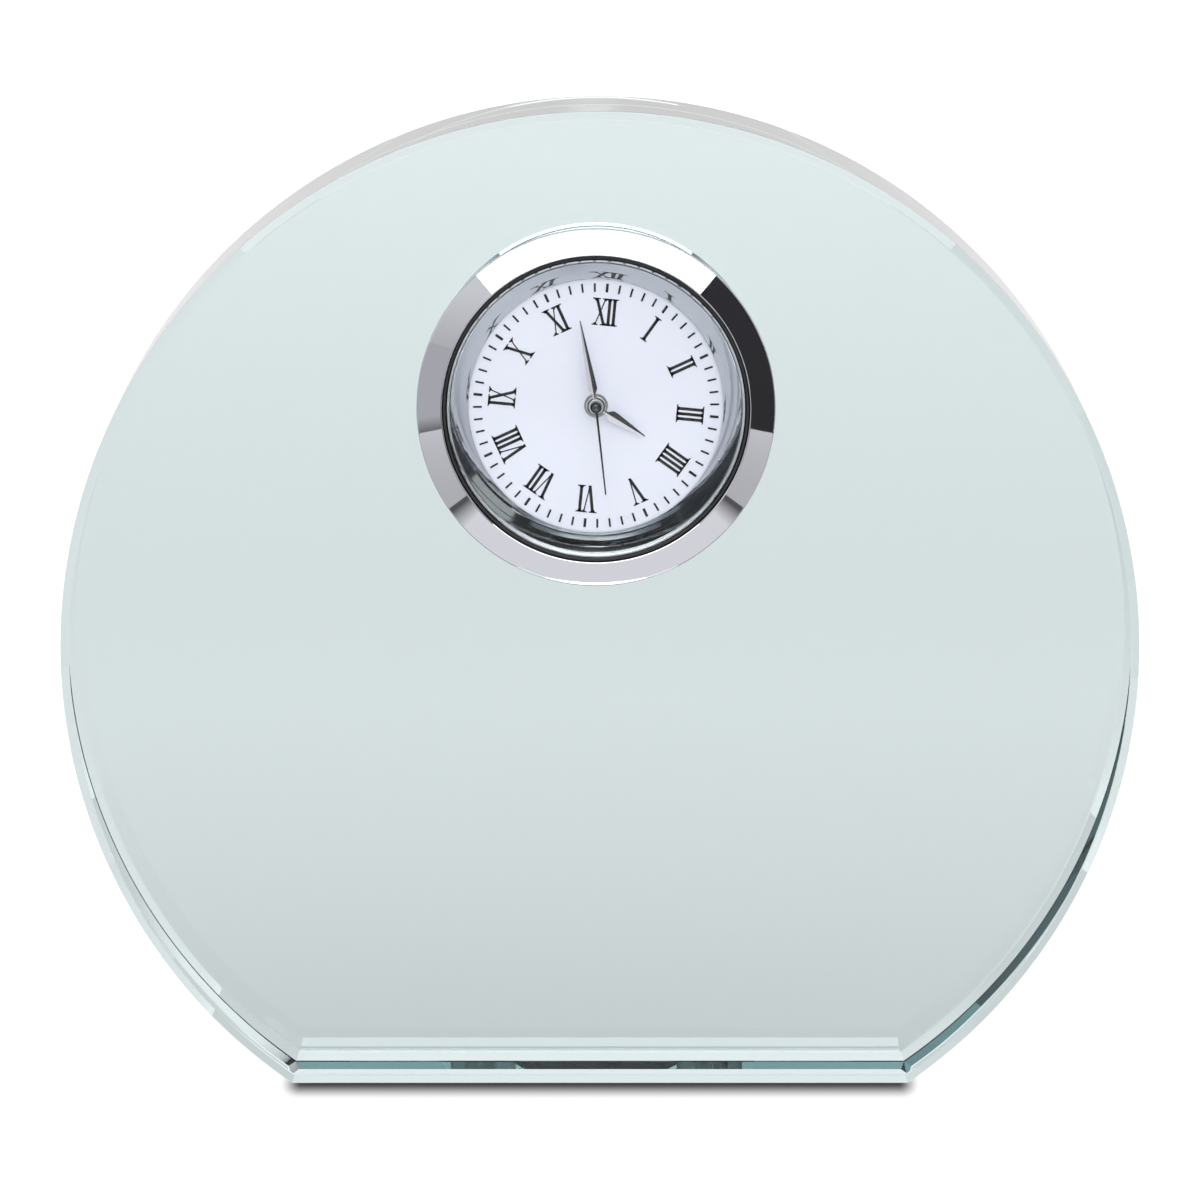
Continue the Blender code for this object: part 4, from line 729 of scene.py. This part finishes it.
def make_hands():
    """Ridged hour and minute arms on satin ring bosses, the hour boss with a black ring on top, and a needle on a
    collar that holds a steel button with a black pin in its middle."""
    boss = ring(*HOUR_BOSS, HOUR_BACK, HOUR_BOSS_TOP, 0.02)
    piece("hour_boss", "hours", SATIN, [boss], ["hour_hand"])
    seat = ring(HOUR_BOSS[0], SEAT_RADIUS, HOUR_BOSS_TOP, SEAT_TOP, 0.01)
    piece("hour_boss_seat", "hours", NEEDLE_BLACK, [seat])
    stations = [
        (0.87, NECK), (1.3, NECK + 0.01), (1.75, HOUR_SHOULDER - 0.06), (1.95, HOUR_SHOULDER), (2.3, 0.55),
        (5.85, 0.09),
    ]
    arm = blade(HOUR_TURN, HOUR_BACK, stations, ARM_SLOPE, ARM_TIP)
    piece("hour_blade", "hours", HAND_STEEL, [capped(arm)], ["hour_hand"])

    boss = ring(*MINUTE_BOSS, MINUTE_BACK, MINUTE_BOSS_TOP, 0.02)
    piece("minute_boss", "minutes", SATIN, [boss], ["minute_hand"])
    stations = [
        (0.66, NECK), (1.3, NECK + 0.01), (1.7, MINUTE_SHOULDER - 0.06), (1.9, MINUTE_SHOULDER), (2.3, 0.455),
        (8.95, 0.06),
    ]
    arm = blade(MINUTE_TURN, MINUTE_BACK, stations, ARM_SLOPE, ARM_TIP)
    piece("minute_blade", "minutes", HAND_STEEL, [capped(arm)], ["minute_hand"])

    collar = [(0.33, 0.82), (0.5, 0.82), (0.55, 0.76), (0.55, 0.3), (0.18, 0.3), (0.18, 0.6), (0.33, 0.7)]
    arm = blade(SECOND_TURN, SECOND_BACK, [(0.45, 0.115), (9.0, 0.07)], 0.0, 0.05)
    needle = [woven(turned(eased(collar, 0.02), HUB_STEPS)), capped(arm)]
    piece("second_needle", "seconds", NEEDLE_BLACK, needle, ["second_hand"])
    button = [(0.13, 0.9), (0.32, 0.9), (0.32, 0.72), (0.18, 0.64), (0.13, 0.7)]
    button = woven(turned(eased(button, 0.02), HUB_STEPS))
    piece("second_button", "seconds", HAND_STEEL, [button], ["second_hand"])
    pin = [(0.0, 0.86), (0.11, 0.86), (0.11, 0.66), (0.0, 0.66)]
    piece("hand_pin", "seconds", NEEDLE_BLACK, [woven(turned(eased(pin, 0.02), HUB_STEPS))])


def make_case():
    """Cup behind the bezel, ribbed grip ring, back cover with its window and notch, and fluted setting knob. Each
    list of follows says how much of the ribs' depth a point of the profile takes."""
    cup = [
        (DIAL_RADIUS, CUP_FRONT), (DIAL_RADIUS, CUP_STEP), (CASE_RADIUS, CUP_STEP), (CASE_RADIUS, CUP_BACK),
        (CASE_WALL_BORE, CUP_BACK), (CASE_WALL_BORE, CUP_FLOOR), (CUP_HOLE, CUP_FLOOR), (CUP_HOLE, CUP_FRONT),
    ]
    piece("case_cup", "insert", CASE_BLACK, [woven(turned(eased(cup, 0.08)))], ["case_body"])

    grip = [(16.36, -3.3), (16.8, -3.3), (17.11, -3.6), (17.11, -7.5), (16.8, -7.8), (16.36, -7.8)]
    follows = [0, 0.4, 1, 1, 0.4, 0]
    sleeve = woven(turned_with_ribs(grip, follows, ribbed(*GRIP_RIBS, 2 * FINE_STEPS)))
    piece("grip_sleeve", "insert", GRIP_CLEAR, [sleeve], ["grip_ring"])

    def notch(u, v):
        """Depth of the notch in the cover's rim: the same all over its width, above the middle."""
        return NOTCH_DEPTH * ((np.abs(u) < NOTCH_HALF) & (v > 0))

    levels = [(-8.9, 0.0, 0), (-9.25, 0.0, 0), (-9.25, 0.0, 1), (-9.45, 0.0, 1), (-9.54, 0.05, 1), (-9.6, 0.16, 1)]
    plate = woven(holed_plate(notch, KNOB_PLACE, COVER_WINDOW, levels))
    spigot = woven(turned(eased([(14.16, -8.95), (14.16, -8.0), (15.06, -8.0), (15.06, -8.95)], 0.08)))
    piece("cover_cap", "cover", COVER_BLACK, [plate, spigot], ["back_cover"])

    knob = [
        (0.0, -11.1), (1.2, -11.1), (1.55, -11.25), (1.75, -11.4), (2.05, -11.4), (2.2, -11.2), (2.2, -8.1),
        (2.1, -8.0), (0.52, -8.0), (0.52, -9.8), (0.0, -9.8),
    ]
    follows = [0, 0, 0, 0.3, 1, 1, 1, 1, 0, 0, 0]
    fluted = woven(turned_with_ribs(knob, follows, ribbed(*KNOB_FLUTES), KNOB_PLACE))
    piece("fluted_knob", "setting", COVER_BLACK, [fluted], ["setting_knob"])


def finish_movement():
    """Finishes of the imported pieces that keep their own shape."""
    finishes = {
        IVORY: ["movement_ring", "main_plate", "train_bridge"],
        SCREW_STEEL: ["movement_screw_1", "movement_screw_2", "movement_screw_3"],
        BOARD_GREEN: ["circuit_board"],
        RESIN_BLACK: ["chip_cap"],
        CAN_STEEL: ["quartz_can"],
        NYLON_BLACK: ["coil_bobbin"],
        COPPER: ["coil_winding"],
        IRON: ["coil_core", "stator"],
        MAGNET: ["rotor_magnet"],
        WHEEL_IVORY: [
            "rotor_pinion", "intermediate_wheel", "third_wheel", "minute_wheel", "hour_wheel", "setting_stem",
        ],
        WHEEL_BRASS: ["seconds_wheel", "centre_wheel", "cannon_pinion"],
        CELL_STEEL: ["battery"],
        BRONZE: ["positive_contact", "negative_contact"],
    }
    for material, nodes in finishes.items():
        for name in nodes:
            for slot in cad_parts[name].material_slots:
                slot.material = material


# Studio, in metres: x to the right, -y to the front, z up -------------------------------------------------------

# Floor: its size, and its tone close by and far away, between two distances; the darker tone close by is a painted
# falloff of light
FLOOR_HALF = 4.0
FLOOR_DROP = 0.00005
FLOOR_NEAR, FLOOR_FAR = 0.71, 0.86
FLOOR_RAMP = (0.05, 1.1)

# Painted shadow of the block: a band of the floor behind it that widens and is darker, as the crystal shows it: its
# length and depth of tone, the half widths between which it spreads over a length, and how its sides fade
BLOCK_SHADOW_REACH = 0.26
BLOCK_SHADOW_DEPTH = 0.13
WEDGE_NEAR, WEDGE_FAR, WEDGE_LENGTH = 0.034, 0.064, 0.12
WEDGE_FADE = (-0.004, 0.006)

# Contact shade round the base: half sizes of the dark foot, its reach, its tone, and how much shorter it is sideways
FOOT_HALF_WIDTH, FOOT_HALF_DEPTH = 0.0306, 0.009
SHADE_START, SHADE_REACH = 0.0003, 0.0098
SHADE_LOW = 0.055
SHADE_SQUEEZE = 3.8

# How much dimmer the floor is in a mirror
MIRROR_LOSS = 0.28

# Light by direction. Heights are those of a direction one metre long, and angles are in degrees. Light that went
# through the block alone has crossed a face of glass once or twice, so a number of times between two bounds
EDGE_FALL = 0.115
BOX_HALF_ANGLE = 42.0
BOX_FOOT = 0.42
BOX_LIGHT = (3.0, 3.0, 3.0)
LAMP_HALF_WIDTH = 0.2
LAMP_HEIGHTS = (0.17, 0.4)
LAMP_LIGHT = (7.0, 7.0, 7.0)
BLOCK_CROSSINGS = (0.5, 2.5)
DARK_BOARD = (0.045, 0.045, 0.05)
LEFT_BOARD_RAMP = (0.2, 0.5, 0.70, 0.97)
BOARD_SIDE_RAMP = (62.0, 88.0, 1.0, 0.0)
BACKDROP_RAMP = (0.1, 0.2, 0.96, 1.33)
CEILING_RAMP = (0.55, 0.75, 0.0, 1.0)
CEILING = (0.12, 0.12, 0.12)
KEY_DIRECTION = (0.62, -0.55, 0.56)
KEY_RAMP = (0.3, 1.0, 1.25, 2.2)

# Standing boards at the sides: place, ends and height, and their glow
BOARD_PLACE = 0.259
BOARD_FAR, BOARD_NEAR = -0.7, -0.04
BOARD_HEIGHT = 0.14
RIGHT_GLOW = (0.045, 0.045, 0.046)
LEFT_FOOT_RAMP = (0.0, 0.024, 0.22, 0.63)
LEFT_RISING_RAMP = (0.02, 0.14, 0.62, 0.72)
LEFT_BLUE = 1.03

# Floor card in front: its ends, its light with the distance and to the side, and the dim strip beside the clock
CARD_LIFT = 0.0004
CARD_HALF = 0.6
CARD_FAR, CARD_NEAR = -3.9, -0.03
CARD_RAMP = (-0.42, -0.10, 0.04, 1.08)
CARD_LEFT_RAMP = (-0.44, -0.34, 0.04, 1.0)
CARD_SIDE_RAMP = (0.084, 0.24, 0.70, 0.88)
STRIP_START, STRIP_END, STRIP_FAR = 0.066, 0.0848, -0.09
STRIP_RAMP = (0.066, 0.081, 1.04, 0.14)

# Two bright lines on the floor in front, which the front face mirrors as the light bands above its foot
LINE_LIFT = 0.0005
LINE_HALF = 0.0313
LINE_GLOW = (4.2, 5.2, 5.3)
LINES = (("far_light_line", -0.0331, -0.0281), ("near_light_line", -0.0270, -0.0250))

# Camera
CAMERA_PLACE = (0.0, -0.892, 0.1732)
CAMERA_DIP = 7.94
CAMERA_LENS = 262.44
CAMERA_SENSOR = 36.0


def flat_stage(name, corners, material):
    """Flat four-cornered piece of the studio."""
    mesh = bpy.data.meshes.new(name)
    mesh.from_pydata(corners, [], [(0, 1, 2, 3)])
    mesh.materials.append(material)
    obj = bpy.data.objects.new(name, mesh)
    bpy.context.scene.collection.objects.link(obj)
    return obj


def level_corners(half, far, near, height):
    """Corners of a level rectangle across the middle, facing up."""
    return [(-half, far, height), (half, far, height), (half, near, height), (-half, near, height)]


def make_floor():
    """Pale floor, lighter in the distance, its tone a painted falloff of light that is darker near the clock. Behind
    the block a painted shadow of the block darkens it, except where the camera sees it directly, and in mirrors it is
    dimmer. The painted contact shade round the base is a smooth step over the distance sqrt(p^2 + q^2) from the foot,
    where p, to the side, counts SHADE_SQUEEZE times."""
    material, tree, shader = new_finish("floor")
    shader.inputs["Roughness"].default_value = 0.9
    shader.inputs["Specular IOR Level"].default_value = 0.0
    x, y, z = place_parts(tree)
    out = maths(tree, "ABSOLUTE", x)
    path = tree.nodes.new("ShaderNodeLightPath").outputs

    # Painted falloff of light: the floor's tone is darker near the clock and lighter in the distance
    painted_falloff = ramp(tree, y, *FLOOR_RAMP, FLOOR_NEAR, FLOOR_FAR)
    # Painted shadow of the block on the floor behind it, only for light that doesn't go straight to the camera
    block_shadow_dip = ramp(tree, y, 0.0, BLOCK_SHADOW_REACH, BLOCK_SHADOW_DEPTH, 0.0)
    edge = ramp(tree, y, 0.0, WEDGE_LENGTH, WEDGE_NEAR, WEDGE_FAR)
    inside = ramp(tree, maths(tree, "SUBTRACT", out, edge), *WEDGE_FADE, 1.0, 0.0)
    not_direct = maths(tree, "SUBTRACT", 1.0, path["Is Camera Ray"])
    block_shadow_mask = both(tree, inside, not_direct, maths(tree, "GREATER_THAN", y, 0.0))
    tone = maths(tree, "SUBTRACT", painted_falloff, maths(tree, "MULTIPLY", block_shadow_dip, block_shadow_mask))

    beyond_x = maths(tree, "MAXIMUM", maths(tree, "SUBTRACT", out, FOOT_HALF_WIDTH), 0.0)
    beyond_x = maths(tree, "MULTIPLY", beyond_x, SHADE_SQUEEZE)
    beyond_y = maths(tree, "SUBTRACT", maths(tree, "ABSOLUTE", y), FOOT_HALF_DEPTH)
    beyond_y = maths(tree, "MAXIMUM", beyond_y, 0.0)
    squares = [maths(tree, "MULTIPLY", beyond, beyond) for beyond in (beyond_x, beyond_y)]
    distance = maths(tree, "SQRT", maths(tree, "ADD", *squares))
    shade = ramp(tree, distance, SHADE_START, SHADE_REACH, SHADE_LOW, 1.0, interpolation_type="SMOOTHSTEP")

    mirrored = maths(tree, "SUBTRACT", path["Is Glossy Ray"], path["Is Transmission Ray"])
    mirrored = maths(tree, "MAXIMUM", mirrored, 0.0)
    dimming = maths(tree, "SUBTRACT", 1.0, maths(tree, "MULTIPLY", mirrored, MIRROR_LOSS))
    level = both(tree, tone, shade, dimming)
    grey = add(tree, "ShaderNodeCombineColor", level, level, level)
    tree.links.new(grey.outputs[0], shader.inputs["Base Color"])
    flat_stage("floor", level_corners(FLOOR_HALF, -FLOOR_HALF, FLOOR_HALF, -FLOOR_DROP), material)


def make_world():
    """Studio light by direction. Surfaces without gloss are lit evenly, with a little more from the right front.
    Glossy pieces and the crystal show a pattern: in front a bright box overhead, below it a dark board across the
    middle and the right and a grey one on the left, and a short lamp; elsewhere a white backdrop under a dim ceiling.
    The boards' edges are radial as seen in the bezel. Light that met no mirror shows the backdrop alone, and light
    that crossed a face of glass once or twice doesn't show the lamp."""
    world = bpy.data.worlds.new("studio")
    bpy.context.scene.world = world
    world.use_nodes = True
    tree = world.node_tree
    direction = tree.nodes.new("ShaderNodeTexCoord").outputs["Generated"]
    x, y, z = add(tree, "ShaderNodeSeparateXYZ", direction).outputs
    path = tree.nodes.new("ShaderNodeLightPath").outputs
    off_middle = maths(tree, "ABSOLUTE", x)
    forward = maths(tree, "LESS_THAN", y, 0.0)
    angle = maths(tree, "DEGREES", maths(tree, "ARCTAN2", x, maths(tree, "ADD", z, EDGE_FALL)))
    round_way = maths(tree, "DEGREES", maths(tree, "ARCTAN2", off_middle, maths(tree, "MULTIPLY", y, -1.0)))

    narrow = maths(tree, "LESS_THAN", maths(tree, "ABSOLUTE", angle), BOX_HALF_ANGLE)
    box = both(tree, narrow, maths(tree, "GREATER_THAN", z, BOX_FOOT), forward)
    dark_side = maths(tree, "GREATER_THAN", angle, -BOX_HALF_ANGLE)
    boards = chosen(tree, dark_side, ramp(tree, z, *LEFT_BOARD_RAMP), DARK_BOARD)
    backdrop = chosen(tree, ramp(tree, z, *CEILING_RAMP), ramp(tree, z, *BACKDROP_RAMP), CEILING)
    around = chosen(tree, ramp(tree, round_way, *BOARD_SIDE_RAMP), backdrop, boards)
    in_block = between(tree, path["Transmission Depth"], *BLOCK_CROSSINGS)
    outside = maths(tree, "SUBTRACT", 1.0, in_block)
    middle = maths(tree, "LESS_THAN", off_middle, LAMP_HALF_WIDTH)
    lamp = both(tree, middle, forward, between(tree, z, *LAMP_HEIGHTS), outside)
    seen = chosen(tree, lamp, chosen(tree, box, around, BOX_LIGHT), LAMP_LIGHT)
    straight = maths(tree, "LESS_THAN", path["Glossy Depth"], 0.5)
    seen = chosen(tree, straight, seen, backdrop)

    key = add(tree, "ShaderNodeVectorMath", direction, KEY_DIRECTION, operation="DOT_PRODUCT").outputs["Value"]
    even = tree.nodes["Background"]
    tree.links.new(ramp(tree, key, *KEY_RAMP), even.inputs["Strength"])
    even.inputs["Color"].default_value = (1.0, 1.0, 1.0, 1.0)
    pattern = add(tree, "ShaderNodeBackground", seen)
    sharp = maths(tree, "MAXIMUM", path["Is Glossy Ray"], path["Is Transmission Ray"])
    early = maths(tree, "LESS_THAN", path["Diffuse Depth"], 0.5)
    mixed = add(tree, "ShaderNodeMixShader", both(tree, sharp, early), even.outputs[0], pattern.outputs[0])
    tree.links.new(mixed.outputs[0], tree.nodes["World Output"].inputs["Surface"])


def glowing(name, colour_of, outside_only=False):
    """Material that glows by a colour worked out from the place, and isn't there for light that met no mirror, nor,
    where it is for the outside only, for light that went through glass."""
    material = bpy.data.materials.new(name)
    material.use_nodes = True
    tree = material.node_tree
    tree.nodes.clear()
    glow = add(tree, "ShaderNodeEmission", colour_of(tree, *place_parts(tree)))
    path = tree.nodes.new("ShaderNodeLightPath").outputs
    shown = maths(tree, "GREATER_THAN", path["Glossy Depth"], 0.5)
    if outside_only:
        shown = both(tree, shown, maths(tree, "LESS_THAN", path["Transmission Depth"], 0.5))
    absent = tree.nodes.new("ShaderNodeBsdfTransparent")
    mixed = add(tree, "ShaderNodeMixShader", shown, absent.outputs[0], glow.outputs[0])
    output = tree.nodes.new("ShaderNodeOutputMaterial")
    tree.links.new(mixed.outputs[0], output.inputs["Surface"])
    return material


def card(name, corners, material):
    """Flat studio card that only glossy pieces and the crystal show."""
    obj = flat_stage(name, corners, material)
    obj.visible_camera = False
    obj.visible_diffuse = False
    obj.visible_shadow = False
    obj.visible_volume_scatter = False


def left_glow(tree, x, y, z):
    """Grey that rises with the height, faster at the foot."""
    level = maths(tree, "MINIMUM", ramp(tree, z, *LEFT_FOOT_RAMP), ramp(tree, z, *LEFT_RISING_RAMP))
    return add(tree, "ShaderNodeCombineColor", level, level, maths(tree, "MULTIPLY", level, LEFT_BLUE)).outputs[0]


def right_glow(tree, x, y, z):
    """Plain dark grey."""
    return (*RIGHT_GLOW, 1.0)


def floor_glow(tree, x, y, z):
    """Light that fades away from the clock, starting farther out on the left; outside the strip it is held down by a
    ramp to the side, and in the strip beside the clock it falls to a soft dark edge."""
    out = maths(tree, "ABSOLUTE", x)
    front = ramp(tree, y, *CARD_RAMP, interpolation_type="SMOOTHSTEP")
    near = maths(tree, "GREATER_THAN", y, STRIP_FAR)
    in_strip = both(tree, maths(tree, "GREATER_THAN", out, STRIP_START), near)
    level = chosen(tree, in_strip, front, ramp(tree, out, *STRIP_RAMP))
    on_left = maths(tree, "LESS_THAN", x, 0.0)
    lighter = chosen(tree, on_left, front, ramp(tree, y, *CARD_LEFT_RAMP))
    sideways = maths(tree, "MINIMUM", lighter, ramp(tree, out, *CARD_SIDE_RAMP))
    return chosen(tree, maths(tree, "GREATER_THAN", out, STRIP_END), level, sideways)


def line_glow(tree, x, y, z):
    """Plain pale light."""
    return (*LINE_GLOW, 1.0)


def make_cards():
    """Standing boards on both sides in front, a floor card that darkens under the camera, and two bright lines on
    the floor in front of the block."""
    for name, side, glow in (("board_right", 1.0, right_glow), ("board_left", -1.0, left_glow)):
        x = side * BOARD_PLACE
        ends = ((BOARD_FAR, 0.0), (BOARD_NEAR, 0.0), (BOARD_NEAR, BOARD_HEIGHT), (BOARD_FAR, BOARD_HEIGHT))
        card(name, [(x, y, z) for y, z in ends], glowing(name, glow))
    card("floor_card", level_corners(CARD_HALF, CARD_FAR, CARD_NEAR, CARD_LIFT), glowing("floor card", floor_glow))
    line_material = glowing("light line", line_glow, outside_only=True)
    for name, far, near in LINES:
        card(name, level_corners(LINE_HALF, far, near, LINE_LIFT), line_material)


def make_camera():
    """Long lens in front of the clock and a little above it, looking slightly down."""
    camera = bpy.data.cameras.new("camera")
    camera.lens = CAMERA_LENS
    camera.sensor_width = CAMERA_SENSOR
    camera.clip_start = 0.05
    camera.clip_end = 50.0
    holder = bpy.data.objects.new("camera", camera)
    holder.location = CAMERA_PLACE
    holder.rotation_euler = (math.radians(90 - CAMERA_DIP), 0.0, 0.0)
    bpy.context.scene.collection.objects.link(holder)
    bpy.context.scene.camera = holder
    bpy.context.scene.view_settings.view_transform = "Standard"
    bpy.context.scene.cycles.blur_glossy = 0.0


make_glass()
make_front()
make_dial()
make_hands()
make_case()
finish_movement()
make_floor()
make_world()
make_cards()
make_camera()
